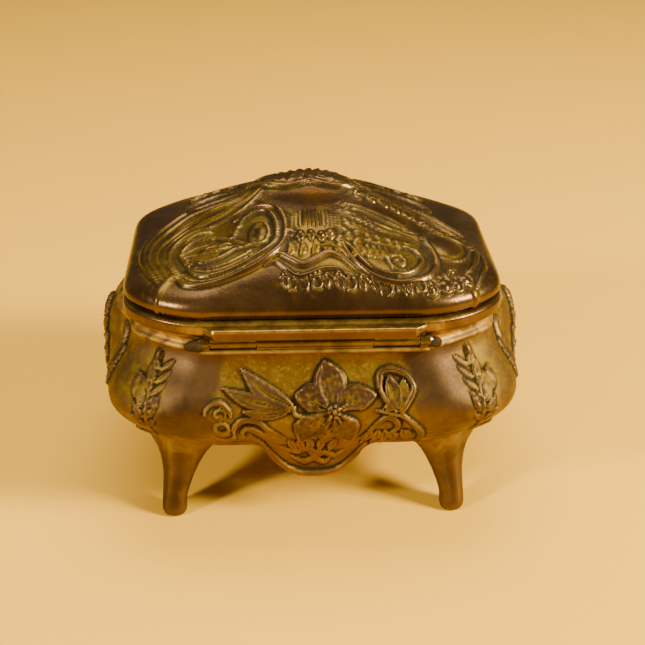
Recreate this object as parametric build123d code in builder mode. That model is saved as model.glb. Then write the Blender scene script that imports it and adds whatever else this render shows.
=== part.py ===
from build123d import *
import math
import os
from collections import namedtuple

# A footed vanity box of cast white metal: a swelling case on four splayed legs, a domed lid
# on a knuckle hinge, and a silk-covered lining in both. Millimetres, +Z up. The origin is the
# middle of the footprint on the table. The front is at -Y and the hinge is along the back, +Y.

os.makedirs("parts", exist_ok=True)

# ---- Driving dimensions -------------------------------------------------------------------
# Case: half sizes are taken outside the plain collar that the lid closes on.
collar_half_length = 56.3
collar_half_depth = 42.0
corner_ratio = 0.65        # length cut off the ends for each unit cut off the long sides
wall = 2.2                 # thickness of both castings
rim_z = 69.0               # top of the collar
collar_height = 6.0        # plain band between the rim and the swelling sides
belly_z = 43.5             # widest level
floor_z = 33.0             # top of the ledge that carries the bottom plate
ledge_thickness = 2.0
apron_z = 18.0             # lowest point of an apron
apron_half_width_long = 18.0
apron_half_width_short = 13.0
ledge_width = 6.0
ledge_to_leg = 1.4         # ledge left between a leg's top and the way through
end_boss_z = 56.0          # middle of the ornament cast on each end
end_boss_half_width = 19.0
end_boss_half_height = 8.5
end_boss_reach = 9.9       # how far it stands beyond the collar

# Legs: each stands under a cut corner and kicks outwards.
leg_inset = 9.0            # leg axis behind the corner's cut, at the hem
leg_splay = 7.5            # outward travel of the foot from the leg's top
leg_top_radius = 9.5
leg_knee_radius = 7.2
leg_shin_radius = 4.6
leg_ankle_radius = 3.9
foot_radius = 4.2
foot_pad_radius = 2.9

# Lid
lid_overhang = 2.2         # lid band beyond the collar
lid_gap = 0.15             # free height between collar and lid
band_height = 6.1
dome_height = 23.0         # from the top of the band to the crown
lid_corner_cut = 24.0
lid_bow = 3.0              # how far the band's corners bow out
end_taper = 0.93           # how much the dome's ends come in for each unit its long sides do
corner_growth = 5.0        # how fast the dome's corner cuts grow towards the crown

# Hinge: a pin through two lid knuckles and one case knuckle, in a bed behind the collar.
pin_diameter = 1.6
pin_play = 0.05            # radial, between the pin and every knuckle
knuckle_diameter = 3.4
knuckle_clearance = 0.3    # round each knuckle
side_clearance = 0.25      # between neighbours along the pin
case_knuckle_length = 34.5
lid_knuckle_length = 13.5
end_lug_length = 3.0
bed_thickness = 1.8
bed_reach = 1.6            # bed beyond the pin's axis, which stops the lid a little past upright
leaf_reach = 3.0           # lid leaf beyond the lid band
leaf_thickness = 3.4
leaf_past_lug = -1.2       # leaf beyond the end lugs; negative leaves their ends bare
leaf_end_slope = 3.5       # how much shorter the leaf's free edge is at each end
pin_head_length = 0.7

# Lining
sheet = 1.2                # bottom plate
card = 1.2                 # stiff card behind the silk
silk = 1.6                 # padded silk
lining_clearance = 0.4
lining_below_rim = 1.6     # card stops this far under the top of the collar
floor_pad_height = 5.0
trim_diameter = 2.4        # twisted cord along the top of the wall lining
lid_card_above = 2.7       # underside of the lid card over the bottom of the lid band
lid_pad_height = 3.0
lid_trim_diameter = 2.0

# ---- Outlines -----------------------------------------------------------------------------
# A level is one horizontal outline: its height, how far it swells beyond the reference half
# sizes, the length cut off each corner along the long sides, and how far the corner face bows
# out of that cut.
Level = namedtuple("Level", "z swell cut bow")

collar_cut = 22.0
collar_bow = 1.5
neck_z = rim_z - collar_height
hem_z = floor_z - ledge_thickness   # underside of the casting between the aprons
apron_level = Level(apron_z, -1.0, 30.0, 2.0)
floor_level = Level(floor_z, 3.0, 27.0, 4.0)
belly_level = Level(belly_z, 8.2, 26.0, 6.0)
neck_level = Level(neck_z, 0.0, collar_cut, collar_bow)
level_steps = 4


def between(low, high, share, bend):
    """The level at a share of the height from low to high; bend turns it into the other values."""
    mix = [a + (b - a) * bend for a, b in zip(low[1:], high[1:])]
    return Level(low.z + (high.z - low.z) * share, *mix)


# Quarter sine from the floor out to the belly, half cosine back in to the neck.
steps = [i / level_steps for i in range(level_steps)]
floor_to_belly = [between(floor_level, belly_level, s, math.sin(s * math.pi / 2)) for s in steps]
belly_to_neck = [between(belly_level, neck_level, s, (1 - math.cos(s * math.pi)) / 2)
                 for s in steps]
room_levels = [*floor_to_belly, *belly_to_neck, neck_level]
case_levels = [apron_level, *room_levels]

band_bottom_z = rim_z + lid_gap
band_top_z = band_bottom_z + band_height
crown_z = band_top_z + dome_height
lid_half_length = collar_half_length + lid_overhang
lid_half_depth = collar_half_depth + lid_overhang
# Height as a share of the dome, and inward distance as a share of the lid's half size.
dome_shape = [(0.0, 0.03), (0.12, 0.012), (0.25, 0.012), (0.36, 0.05), (0.44, 0.11),
              (0.52, 0.19), (0.61, 0.29), (0.73, 0.42), (0.88, 0.62), (1.0, 0.86)]

# How much shorter a corner cut gets for each unit that the outline is inset.
corner_turn = math.atan(corner_ratio)
long_shrink = 1 - math.tan(corner_turn / 2)
short_shrink = 1 - math.tan(math.pi / 4 - corner_turn / 2)


def outline(half_length, half_depth, cut, bow, inset=0.0):
    """Four straight sides and four cut corners that bow outwards, as one face."""
    x, y = half_length - inset, half_depth - inset
    a = x - cut + long_shrink * inset
    b = y - corner_ratio * cut + short_shrink * inset
    corners = [((x, b), (a, y)), ((-a, y), (-x, b)), ((-x, -b), (-a, -y)), ((a, -y), (x, -b))]
    with BuildSketch() as shape:
        with BuildLine():
            for i, (start, end) in enumerate(corners):
                SagittaArc(start, end, -bow)
                Line(end, corners[(i + 1) % 4][0])
        make_face()
    return shape.sketch.face()


def outline_at(level, half_length, half_depth, inset=0.0):
    return outline(half_length + level.swell, half_depth + level.swell,
                   level.cut, level.bow, inset)


def through(sections):
    """A solid through faces at given heights, straight from one to the next."""
    with BuildPart() as form:
        for z, face in sections:
            with BuildSketch(Plane.XY.offset(z)):
                add(face)
        loft(ruled=True)
    return form.part


def lofted(levels, half_length, half_depth, inset=0.0):
    """A solid through the outlines of the given levels."""
    return through([(level.z, outline_at(level, half_length, half_depth, inset))
                    for level in levels])


def plate(face, bottom_z, height):
    """A flat piece of that outline."""
    with BuildPart() as piece:
        with BuildSketch(Plane.XY.offset(bottom_z)):
            add(face)
        extrude(amount=height)
    return piece.part


def collar_outline(inset=0.0):
    return outline(collar_half_length, collar_half_depth, collar_cut, collar_bow, inset)


def lid_outline(inset=0.0):
    return outline(lid_half_length, lid_half_depth, lid_corner_cut, lid_bow, inset)


def save(part, name):
    part.label = name
    export_step(part, f"parts/{name}.step")
    print(f"{name}: {len(part.solids())} solid(s), {part.volume:.0f} mm3")


def dome_sections(drop=0.0, inset=0.0):
    """Outlines up the dome, whose corner cuts grow until little is left of the ends."""
    sections = []
    for rise, inward in dome_shape:
        half_length = (1 - end_taper * inward) * lid_half_length
        half_depth = (1 - inward) * lid_half_depth
        cut = min(lid_corner_cut * (1 + corner_growth * inward ** 2)
                  - long_shrink * inward * lid_half_depth,
                  0.9 * half_depth / corner_ratio, 0.9 * half_length)
        face = outline(half_length, half_depth, cut, lid_bow * (1 - inward), inset)
        sections.append((band_top_z + rise * dome_height - drop, face))
    return sections


# ---- Hinge places, which the case and the lid both follow ---------------------------------
knuckle_radius = knuckle_diameter / 2
hinge_y = collar_half_depth + knuckle_radius + knuckle_clearance
hinge_z = rim_z - knuckle_radius - knuckle_clearance
bed_top_z = hinge_z - knuckle_radius - knuckle_clearance
case_knuckle_end = case_knuckle_length / 2
lid_knuckle_start = case_knuckle_end + side_clearance
lid_knuckle_end = lid_knuckle_start + lid_knuckle_length
lug_start = lid_knuckle_end + side_clearance
lug_end = lug_start + end_lug_length
leaf_half_length = lug_end + leaf_past_lug

# ---- Leg places, which the ledge keeps clear of --------------------------------------------
corner_x = collar_half_length + floor_level.swell - floor_level.cut / 2
corner_y = collar_half_depth + floor_level.swell - corner_ratio * floor_level.cut / 2
out_x, out_y = math.sin(corner_turn), math.cos(corner_turn)   # the way a corner faces
leg_top_x = corner_x - leg_inset * out_x
leg_top_y = corner_y - leg_inset * out_y
way_half_length = leg_top_x - leg_top_radius - ledge_to_leg
way_half_depth = collar_half_depth + floor_level.swell - wall - ledge_width

# ---- Case ---------------------------------------------------------------------------------
below = 2.0                # how far cutters run past what they cut


def apron_face(half_width):
    """The hanging tongue, from above the hem down to its lowest point."""
    edge, drop = 0.8 * half_width, hem_z - apron_z
    shoulder = 0.5 * half_width
    with BuildSketch() as tongue:
        with BuildLine():
            Line((-half_width, hem_z + below), (-half_width, hem_z))
            Spline((-half_width, hem_z), (-edge, hem_z - 0.42 * drop),
                   (-shoulder, hem_z - 0.84 * drop), (0, apron_z),
                   (shoulder, hem_z - 0.84 * drop), (edge, hem_z - 0.42 * drop),
                   (half_width, hem_z), tangents=((1, 0), (1, 0)))
            Line((half_width, hem_z), (half_width, hem_z + below))
            Line((half_width, hem_z + below), (-half_width, hem_z + below))
        make_face()
    return tongue.sketch.face()


reach = collar_half_length + collar_half_depth

with BuildPart() as hem_cutter:
    # Everything below the hem but the four aprons.
    with BuildSketch(Plane.XY.offset(hem_z)):
        Rectangle(2 * reach, 2 * reach)
    extrude(amount=apron_z - below - hem_z)
    with BuildSketch(Plane.XZ):
        add(apron_face(apron_half_width_long))
    extrude(amount=reach, both=True, mode=Mode.SUBTRACT)
    with BuildSketch(Plane.YZ):
        add(apron_face(apron_half_width_short))
    extrude(amount=reach, both=True, mode=Mode.SUBTRACT)


def end_boss(sign_x, sides=16):
    """The mass of the ornament on one end: an oval block that narrows as it stands out."""
    turns = [2 * math.pi * k / sides for k in range(sides)]
    with BuildPart() as boss:
        for travel, share in ((-end_boss_reach, 1.0), (0.70 * end_boss_reach, 0.94), (end_boss_reach, 0.66)):
            outline = [(share * end_boss_half_width * math.cos(turn),
                        end_boss_z + share * end_boss_half_height * math.sin(turn)) for turn in turns]
            with BuildSketch(Plane.YZ.offset(sign_x * (collar_half_length + travel))):
                with BuildLine():
                    Polyline(*outline, close=True)
                make_face()
        loft(ruled=True)
    return boss.part


with BuildPart() as case_shell:
    add(lofted(case_levels, collar_half_length, collar_half_depth))
    add(plate(collar_outline(), neck_z, rim_z - neck_z))
    add(end_boss(1))
    add(end_boss(-1))
    # Inside: the recess under the ledge, the way through it, the room above it, the collar.
    add(plate(outline_at(apron_level, collar_half_length, collar_half_depth, wall),
              apron_z - below, hem_z - apron_z + below), mode=Mode.SUBTRACT)
    with BuildSketch(Plane.XY.offset(hem_z - below)):
        Rectangle(2 * way_half_length, 2 * way_half_depth)
    extrude(amount=ledge_thickness + below, mode=Mode.SUBTRACT)
    add(lofted(room_levels, collar_half_length, collar_half_depth, wall), mode=Mode.SUBTRACT)
    add(plate(collar_outline(wall), neck_z, rim_z - neck_z), mode=Mode.SUBTRACT)
    add(hem_cutter.part, mode=Mode.SUBTRACT)
    # The bed that the hinge lies in, cast with the collar.
    with BuildSketch(Plane.YZ.offset(-lug_end)):
        with BuildLine():
            Polyline((collar_half_depth - wall / 2, bed_top_z),
                     (hinge_y + bed_reach, bed_top_z),
                     (hinge_y + bed_reach, bed_top_z - bed_thickness / 2),
                     (hinge_y, bed_top_z - bed_thickness),
                     (collar_half_depth - wall / 2, bed_top_z - bed_thickness), close=True)
        make_face()
    extrude(amount=2 * lug_end)
save(case_shell.part, "case_shell")

with BuildPart() as bottom_plate:
    add(plate(outline_at(floor_level, collar_half_length, collar_half_depth,
                         wall + lining_clearance), floor_z, sheet))
save(bottom_plate.part, "bottom_plate")

# ---- Legs ---------------------------------------------------------------------------------
leg_levels = [
    # height, outward travel, radius
    (0.0, leg_splay, foot_pad_radius),
    (0.06 * hem_z, leg_splay, foot_radius),
    (0.30 * hem_z, 0.78 * leg_splay, leg_ankle_radius),
    (0.60 * hem_z, 0.32 * leg_splay, leg_shin_radius),
    (0.85 * hem_z, 0.05 * leg_splay, leg_knee_radius),
    (hem_z, 0.0, leg_top_radius),
]
for end, sign_y in (("front", -1), ("back", 1)):
    for side, sign_x in (("left", -1), ("right", 1)):
        with BuildPart() as leg:
            for z, travel, radius in leg_levels:
                centre = (sign_x * (leg_top_x + travel * out_x),
                          sign_y * (leg_top_y + travel * out_y), z)
                with BuildSketch(Plane(origin=centre)):
                    Circle(radius)
            loft()
        save(leg.part, f"leg_{end}_{side}")

# ---- Hinge on the case ----------------------------------------------------------------------


def tube(start_x, length):
    """A knuckle: a length of tube round the hinge's axis."""
    with BuildPart() as piece:
        with BuildSketch(Plane(origin=(start_x, hinge_y, hinge_z), z_dir=(1, 0, 0))):
            Circle(knuckle_radius)
            Circle(pin_diameter / 2 + pin_play, mode=Mode.SUBTRACT)
        extrude(amount=length)
    return piece.part


def block(start_x, length, low_y, high_y, low_z, high_z):
    with BuildPart() as piece:
        with BuildSketch(Plane.YZ.offset(start_x)):
            with BuildLine():
                Polyline((low_y, low_z), (high_y, low_z), (high_y, high_z), (low_y, high_z),
                         close=True)
            make_face()
        extrude(amount=length)
    return piece.part


def pin_way(start_x, length):
    with BuildPart() as piece:
        with BuildSketch(Plane(origin=(start_x, hinge_y, hinge_z), z_dir=(1, 0, 0))):
            Circle(pin_diameter / 2 + pin_play)
        extrude(amount=length)
    return piece.part


def case_knuckle(start_x, length):
    """A tube that a foot joins to the bed below it and to the collar before it."""
    with BuildPart() as piece:
        add(tube(start_x, length))
        add(block(start_x, length, collar_half_depth, hinge_y + 0.6 * knuckle_radius,
                  bed_top_z, hinge_z))
        add(pin_way(start_x, length), mode=Mode.SUBTRACT)
    return piece.part


save(case_knuckle(-case_knuckle_end, case_knuckle_length), "case_knuckle")
save(case_knuckle(-lug_end, end_lug_length), "hinge_end_lug_left")
save(case_knuckle(lug_start, end_lug_length), "hinge_end_lug_right")

with BuildPart() as hinge_pin:
    with BuildSketch(Plane(origin=(-lug_end, hinge_y, hinge_z), z_dir=(1, 0, 0))):
        Circle(pin_diameter / 2)
    extrude(amount=2 * lug_end)
    for plane in (Plane(origin=(lug_end, hinge_y, hinge_z), z_dir=(1, 0, 0)),
                  Plane(origin=(-lug_end, hinge_y, hinge_z), z_dir=(-1, 0, 0))):
        with BuildSketch(plane):
            Circle(0.75 * knuckle_radius)
        extrude(amount=pin_head_length, taper=25)
save(hinge_pin.part, "hinge_pin")

# ---- Lining of the case -------------------------------------------------------------------
plate_top_z = floor_z + sheet
lining_top_z = rim_z - lining_below_rim
card_inset = wall + lining_clearance
silk_inset = card_inset + card
well_inset = silk_inset + silk


def ring(face_at, outer_inset, inner_inset, bottom_z, height):
    """An upright ring between two insets of one outline."""
    with BuildPart() as piece:
        with BuildSketch(Plane.XY.offset(bottom_z)):
            add(face_at(outer_inset))
            add(face_at(inner_inset), mode=Mode.SUBTRACT)
        extrude(amount=height)
    return piece.part


save(ring(collar_outline, card_inset, silk_inset, plate_top_z, lining_top_z - plate_top_z),
     "wall_card")
floor_card_top_z = plate_top_z + card
save(plate(collar_outline(silk_inset + lining_clearance), plate_top_z, card), "floor_card")

with BuildPart() as floor_pad:
    add(plate(collar_outline(silk_inset + lining_clearance), floor_card_top_z,
              floor_pad_height))
    fillet(floor_pad.faces().sort_by(Axis.Z)[-1].edges(), 0.4 * floor_pad_height)
save(floor_pad.part, "floor_pad")

wall_silk_bottom_z = floor_card_top_z + floor_pad_height + lining_clearance
wall_silk_top_z = lining_top_z - trim_diameter - lining_clearance
save(ring(collar_outline, silk_inset, well_inset, wall_silk_bottom_z,
          wall_silk_top_z - wall_silk_bottom_z), "wall_silk")


def corded_ring(face_at, inset, centre_z, diameter):
    """A cord with an eight-sided section that follows an outline at that inset."""
    turns = [math.radians(angle) for angle in (-67.5, -22.5, 22.5, 67.5)]
    radius = diameter / 2 / math.cos(turns[2])   # to the section's edges, the flats being round it
    rises = [centre_z + radius * math.sin(turn) for turn in turns]
    reaches = [radius * math.cos(turn) for turn in turns]
    outside = [(z, face_at(inset - out)) for z, out in zip(rises, reaches)]
    hole = [(z, face_at(inset + out)) for z, out in zip(rises, reaches)]
    with BuildPart() as piece:
        add(through(outside))
        add(through([(rises[0] - below, hole[0][1]), *hole, (rises[-1] + below, hole[-1][1])]),
            mode=Mode.SUBTRACT)
    return piece.part


trim_z = lining_top_z - trim_diameter / 2
save(corded_ring(collar_outline, silk_inset + trim_diameter / 2, trim_z, trim_diameter),
     "wall_trim_cord")

# ---- Lid ----------------------------------------------------------------------------------
band_inset = wall + dome_shape[0][1] * lid_half_depth   # inside face of the band

with BuildPart() as lid_shell:
    add(plate(lid_outline(), band_bottom_z, band_height))
    add(through(dome_sections()))
    add(through(dome_sections(wall, wall)), mode=Mode.SUBTRACT)
    add(plate(lid_outline(band_inset), band_bottom_z, band_height), mode=Mode.SUBTRACT)
save(lid_shell.part, "lid_shell")

# The leaf is a strip along the back of the band, with sloping ends.
with BuildPart() as lid_hinge_leaf:
    with BuildSketch(Plane.XY.offset(band_bottom_z)):
        with BuildLine():
            Polyline((-leaf_half_length, lid_half_depth), (leaf_half_length, lid_half_depth),
                     (leaf_half_length - leaf_end_slope, lid_half_depth + leaf_reach),
                     (-leaf_half_length + leaf_end_slope, lid_half_depth + leaf_reach),
                     close=True)
        make_face()
    extrude(amount=leaf_thickness)
save(lid_hinge_leaf.part, "lid_hinge_leaf")


def lid_knuckle(start_x):
    """A tube that a web joins to the lid above it."""
    with BuildPart() as piece:
        add(tube(start_x, lid_knuckle_length))
        add(block(start_x, lid_knuckle_length, hinge_y - 0.4 * knuckle_radius,
                  hinge_y + 0.8 * knuckle_radius, hinge_z, band_bottom_z))
        add(pin_way(start_x, lid_knuckle_length), mode=Mode.SUBTRACT)
    return piece.part


save(lid_knuckle(-lid_knuckle_end), "lid_knuckle_left")
save(lid_knuckle(lid_knuckle_start), "lid_knuckle_right")

# ---- Lining of the lid --------------------------------------------------------------------
lid_card_inset = band_inset   # a push fit in the band
lid_card_z = band_bottom_z + lid_card_above
save(plate(lid_outline(lid_card_inset), lid_card_z, card), "lid_card")

with BuildPart() as lid_pad:
    add(plate(lid_outline(lid_card_inset + lid_trim_diameter + lining_clearance),
              lid_card_z - lid_pad_height, lid_pad_height))
    fillet(lid_pad.faces().sort_by(Axis.Z)[0].edges(), 0.45 * lid_pad_height)
save(lid_pad.part, "lid_pad")

save(corded_ring(lid_outline, lid_card_inset + lid_trim_diameter / 2,
                 lid_card_z - lid_trim_diameter / 2, lid_trim_diameter), "lid_trim_cord")

# ---- What the stop allows -------------------------------------------------------------------
# The leaf's underside swings down onto whichever edge of the bed it reaches first.
leaf_rise = band_bottom_z - hinge_z
stop_angles = []
for drop in (hinge_z - bed_top_z, hinge_z - bed_top_z + bed_thickness / 2):
    edge_radius = math.hypot(bed_reach, drop)
    edge_angle = math.degrees(math.atan2(drop, bed_reach))
    stop_angles.append(90 + edge_angle - math.degrees(math.acos(leaf_rise / edge_radius)))
print(f"hinge axis y {hinge_y:.2f} z {hinge_z:.2f}")
print(f"lid meets the bed at {min(stop_angles):.1f} degrees, overall height {crown_z:.2f}")
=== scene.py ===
# %% [markdown]
# # A footed vanity box in browned and gilt cast metal
# The real object is a small jewel casket, cast in a zinc alloy: a swelling case on four splayed
# legs, a domed lid on a knuckle hinge, and a padded silk lining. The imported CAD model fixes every
# size and every moving body. Here each casting gets its cast ornament and its patina. All shapes
# are worked out with numpy as whole grids of points, because a relief is then just a height added
# to a smooth surface, and the same height can tell the material where metal is rubbed or dark.

# %% Load the fixed frame
import math
import time

import bpy
import numpy as np
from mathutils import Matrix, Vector


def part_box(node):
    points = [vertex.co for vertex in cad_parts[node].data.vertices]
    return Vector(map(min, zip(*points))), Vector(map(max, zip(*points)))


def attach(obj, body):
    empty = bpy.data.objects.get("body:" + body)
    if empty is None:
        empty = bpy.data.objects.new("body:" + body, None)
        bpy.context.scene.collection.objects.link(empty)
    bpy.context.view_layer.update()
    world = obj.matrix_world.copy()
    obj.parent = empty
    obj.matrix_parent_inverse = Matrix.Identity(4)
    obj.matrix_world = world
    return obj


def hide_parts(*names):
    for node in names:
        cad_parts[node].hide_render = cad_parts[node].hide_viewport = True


started = time.time()
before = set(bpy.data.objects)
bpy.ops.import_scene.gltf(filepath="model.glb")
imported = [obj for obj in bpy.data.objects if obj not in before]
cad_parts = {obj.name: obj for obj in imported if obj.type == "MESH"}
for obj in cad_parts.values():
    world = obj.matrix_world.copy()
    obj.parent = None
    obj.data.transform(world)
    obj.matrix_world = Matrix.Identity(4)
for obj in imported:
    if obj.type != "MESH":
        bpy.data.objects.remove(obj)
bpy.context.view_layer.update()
MM = 0.001


def span(node):
    """Lowest and highest corner of a CAD node, in millimetres."""
    low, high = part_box(node)
    return np.array(low) / MM, np.array(high) / MM


case_low, case_high = span("case_shell")
lid_low, lid_high = span("lid_shell")
print("case from", case_low.round(2), "to", case_high.round(2))
print("lid from", lid_low.round(2), "to", lid_high.round(2))

# %% [markdown]
# ## Camera
# The box is seen from its hinge side, a little from above, through a fairly long lens. The camera
# comes first, so that every later piece can be judged from where it will be looked at.

# %% Camera
camera_data = bpy.data.cameras.new("view")
camera_data.lens = 70.3
camera_data.sensor_width = 36.0
camera_data.shift_x = 0.0195
camera_data.clip_start = 0.02
camera_data.clip_end = 20.0
camera = bpy.data.objects.new("view", camera_data)
bpy.context.scene.collection.objects.link(camera)
camera.location = (0.0129, 0.3706, 0.2472)
camera.rotation_mode = "QUATERNION"
camera.rotation_quaternion = Vector((-0.0308, -0.8824, -0.4695)).to_track_quat("-Z", "Y")
bpy.context.scene.camera = camera
print("camera", round(camera_data.lens, 1), "mm lens")

# %% [markdown]
# ## Grids that become meshes
# Blender takes a mesh fastest as flat arrays. One helper turns any grid of points, rows by columns,
# into quads, joins the last column to the first for a closed form, and fills an end ring with one
# face where a form has to be closed. Values such as the relief's height ride along as attributes,
# which a shader can read by name.


# %% Mesh helpers
def surface(name, points, around=True, caps=(), flip=False, values=None, body="case", smooth=True):
    """Mesh from a grid of points (rows, columns, 3) in millimetres: each cell is a quad, the columns
    close round on themselves if asked, and a named end ring is filled with one face."""
    rows, columns = points.shape[:2]
    index = np.arange(rows * columns).reshape(rows, columns)
    ring = np.concatenate([index, index[:, :1]], axis=1) if around else index
    quads = np.stack([ring[:-1, :-1], ring[:-1, 1:], ring[1:, 1:], ring[1:, :-1]], axis=-1)
    quads = quads.reshape(-1, 4)
    corners = [quads.ravel()]
    starts = [np.arange(0, quads.size, 4)]
    total = quads.size
    for cap in caps:
        face = index[0][::-1] if cap == "first" else index[-1]
        corners.append(face)
        starts.append(np.array([total]))
        total += face.size
    corners = np.concatenate(corners)
    starts = np.concatenate(starts)
    mesh = bpy.data.meshes.new(name)
    mesh.vertices.add(rows * columns)
    mesh.vertices.foreach_set("co", (points.reshape(-1, 3) * MM).astype(np.float32).ravel())
    mesh.loops.add(corners.size)
    mesh.loops.foreach_set("vertex_index", corners.astype(np.int32))
    mesh.polygons.add(starts.size)
    mesh.polygons.foreach_set("loop_start", starts.astype(np.int32))
    mesh.polygons.foreach_set("use_smooth", np.full(starts.size, smooth))
    mesh.update(calc_edges=True)
    if flip:
        mesh.flip_normals()
    for key, value in (values or {}).items():
        layer = mesh.attributes.new(key, "FLOAT", "POINT")
        layer.data.foreach_set("value", np.asarray(value, np.float32).ravel())
    piece = bpy.data.objects.new(name, mesh)
    bpy.context.scene.collection.objects.link(piece)
    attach(piece, body)
    print(name, len(mesh.vertices), "points,", len(mesh.polygons), "faces")
    return piece


def grid_normals(points, around=True):
    """Unit normals of a grid of points: the cross product of the step along the columns and the step
    down the rows."""
    if around:
        across = np.roll(points, -1, axis=1) - np.roll(points, 1, axis=1)
    else:
        across = np.gradient(points, axis=1)
    down = np.gradient(points, axis=0)
    normal = np.cross(down, across)
    length = np.linalg.norm(normal, axis=-1, keepdims=True)
    return normal / np.maximum(length, 1e-9)


def soften(values, reach, around=True):
    """Values on a grid, averaged over a bell-shaped neighbourhood of that many cells both ways."""
    span_cells = int(3 * reach) + 1
    weights = np.exp(-0.5 * (np.arange(-span_cells, span_cells + 1) / reach) ** 2)
    weights /= weights.sum()
    out = np.asarray(values, float)
    for axis in (0, 1):
        wrap = around and axis == 1
        pad = [(0, 0), (0, 0)]
        pad[axis] = (span_cells, span_cells)
        padded = np.pad(out, pad, mode="wrap" if wrap else "edge")
        total = np.zeros_like(out)
        for k, weight in enumerate(weights):
            part = [slice(None), slice(None)]
            part[axis] = slice(k, k + out.shape[axis])
            total += weight * padded[tuple(part)]
        out = total
    return out


def ease(low, high, value):
    """0 below low, 1 above high and an S-shaped change between them."""
    t = np.clip((value - low) / (high - low), 0, 1)
    return t * t * (3 - 2 * t)


# %% [markdown]
# ## The outline that every casting follows
# Seen from above, case and lid share one outline: a rectangle whose corners are cut off, with each
# cut bowed outwards, and everything softened as a casting is. Softening is done on the closed
# outline's own waves: its fine waves are faded out, which rounds all corners alike.


# %% Outline
CORNER_RATIO = 0.65


def outline(half_length, half_depth, cut, bow, columns, soft=0.06):
    """Closed outlines (rows, columns, 2), one row for each set of half sizes. Straight side, bowed
    cut, straight end, repeated round; starts at the middle of the back and runs to +X."""
    a, b, c, w = [np.atleast_1d(np.asarray(v, float))[:, None] for v in
                  (half_length, half_depth, cut, bow)]
    q = np.linspace(0, 1, columns // 4, endpoint=False)[None, :]
    side = np.clip(q / 0.42, 0, 1)
    corner = np.clip((q - 0.42) / 0.32, 0, 1)
    end = np.clip((q - 0.74) / 0.26, 0, 1)
    lean = math.atan(CORNER_RATIO)
    bulge = 4 * w * corner * (1 - corner)
    x = (a - c) * side + c * corner + bulge * math.sin(lean)
    y = b - CORNER_RATIO * c * corner - (b - CORNER_RATIO * c) * end + bulge * math.cos(lean)
    quarter = np.stack([x, y], -1)
    mirrored = np.roll(quarter[:, ::-1] * [1, -1], 1, axis=1)
    mirrored[:, 0] = np.concatenate([a, 0 * b], 1)
    half = np.concatenate([quarter, mirrored], 1)
    whole = np.concatenate([half, -half], 1)
    waves = np.fft.fftfreq(columns, 1.0 / columns)
    fade = np.exp(-0.5 * (waves * soft) ** 2)
    return np.fft.ifft(np.fft.fft(whole, axis=1) * fade[:, None], axis=1).real


# %% [markdown]
# ## Relief as a drawing in height
# Ornament on a casting is modelled in wax with a few strokes: ribs, leaves, petals, pearls. Each
# stroke here is a smooth line through given points on the surface. A stroke's height at a place
# depends only on how far the place is from the line and how far along it. Strokes are laid over
# each other by keeping the highest, so that they overlap with a crease, as wax does.


# %% Strokes
class Relief:
    """A height over places (u, v) in millimetres on a surface, built up by strokes."""

    def __init__(self, u, v):
        self.place = np.stack([u.ravel(), v.ravel()], -1)
        self.shape = u.shape
        self.height = np.zeros(len(self.place))
        self.cover = np.zeros(len(self.place))

    def near(self, line, reach):
        """Which places lie within reach of a line's box."""
        low = line[:, :2].min(0) - reach
        high = line[:, :2].max(0) + reach
        return np.nonzero(((self.place > low) & (self.place < high)).all(1))[0]

    def lay(self, which, height):
        """Keeps the higher of what is there and what is added."""
        self.height[which] = np.maximum(self.height[which], height)
        self.cover[which] = np.maximum(self.cover[which], (height > 0.12).astype(float))

    def field(self):
        return self.height.reshape(self.shape)


def flow(points, samples=60):
    """Smooth line through points: each span is a cubic whose slope at a point is that of its two
    neighbours. Further columns, such as widths, run along with the places."""
    p = np.asarray(points, float)
    slope = np.gradient(p, axis=0)
    t = np.linspace(0, len(p) - 1, samples)
    i = np.minimum(t.astype(int), len(p) - 2)
    f = (t - i)[:, None]
    start = (1 + 2 * f) * (1 - f) ** 2 * p[i] + f * (1 - f) ** 2 * slope[i]
    return start + f * f * (3 - 2 * f) * p[i + 1] + f * f * (f - 1) * slope[i + 1]


def nearest(place, line):
    """Distance from each place to a line, the side it lies on as a signed distance, and how far
    along the line the nearest point is, from 0 to 1."""
    start = line[:-1, :2]
    step = np.diff(line[:, :2], axis=0)
    length2 = np.maximum((step ** 2).sum(1), 1e-12)
    rel = place[:, None, :] - start[None]
    share = np.clip((rel * step).sum(-1) / length2, 0, 1)
    gap = rel - share[..., None] * step
    gap2 = (gap ** 2).sum(-1)
    best = gap2.argmin(1)
    row = np.arange(len(place))
    distance = np.sqrt(gap2[row, best])
    turn = step[best, 0] * gap[row, best, 1] - step[best, 1] * gap[row, best, 0]
    along = (best + share[row, best]) / len(step)
    return distance, np.sign(turn) * distance, along


def rib(relief, points, half=0.8, height=0.8, thin=(0.25, 0.25), groove=0.0):
    """Raised bar: height times (1 - (distance / half width)^2) to the power 0.8. The half width
    swells from a share at each end to the whole in the middle. A groove splits it lengthwise."""
    line = flow(points)
    which = relief.near(line, half * 1.1)
    if not len(which):
        return
    distance, side, along = nearest(relief.place[which], line)
    swell = np.sin(np.pi * np.clip(along, 0, 1)) ** 0.6
    ends = thin[0] * (1 - along) + thin[1] * along
    width = half * (ends + (1 - ends) * swell)
    rise = height * (0.55 + 0.45 * (ends + (1 - ends) * swell))
    shape = rise * np.clip(1 - (distance / width) ** 2, 0, 1) ** 0.8
    if groove:
        shape = shape - groove * np.exp(-(side / (0.28 * half)) ** 2) * (shape > 0)
    relief.lay(which, shape)


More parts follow.
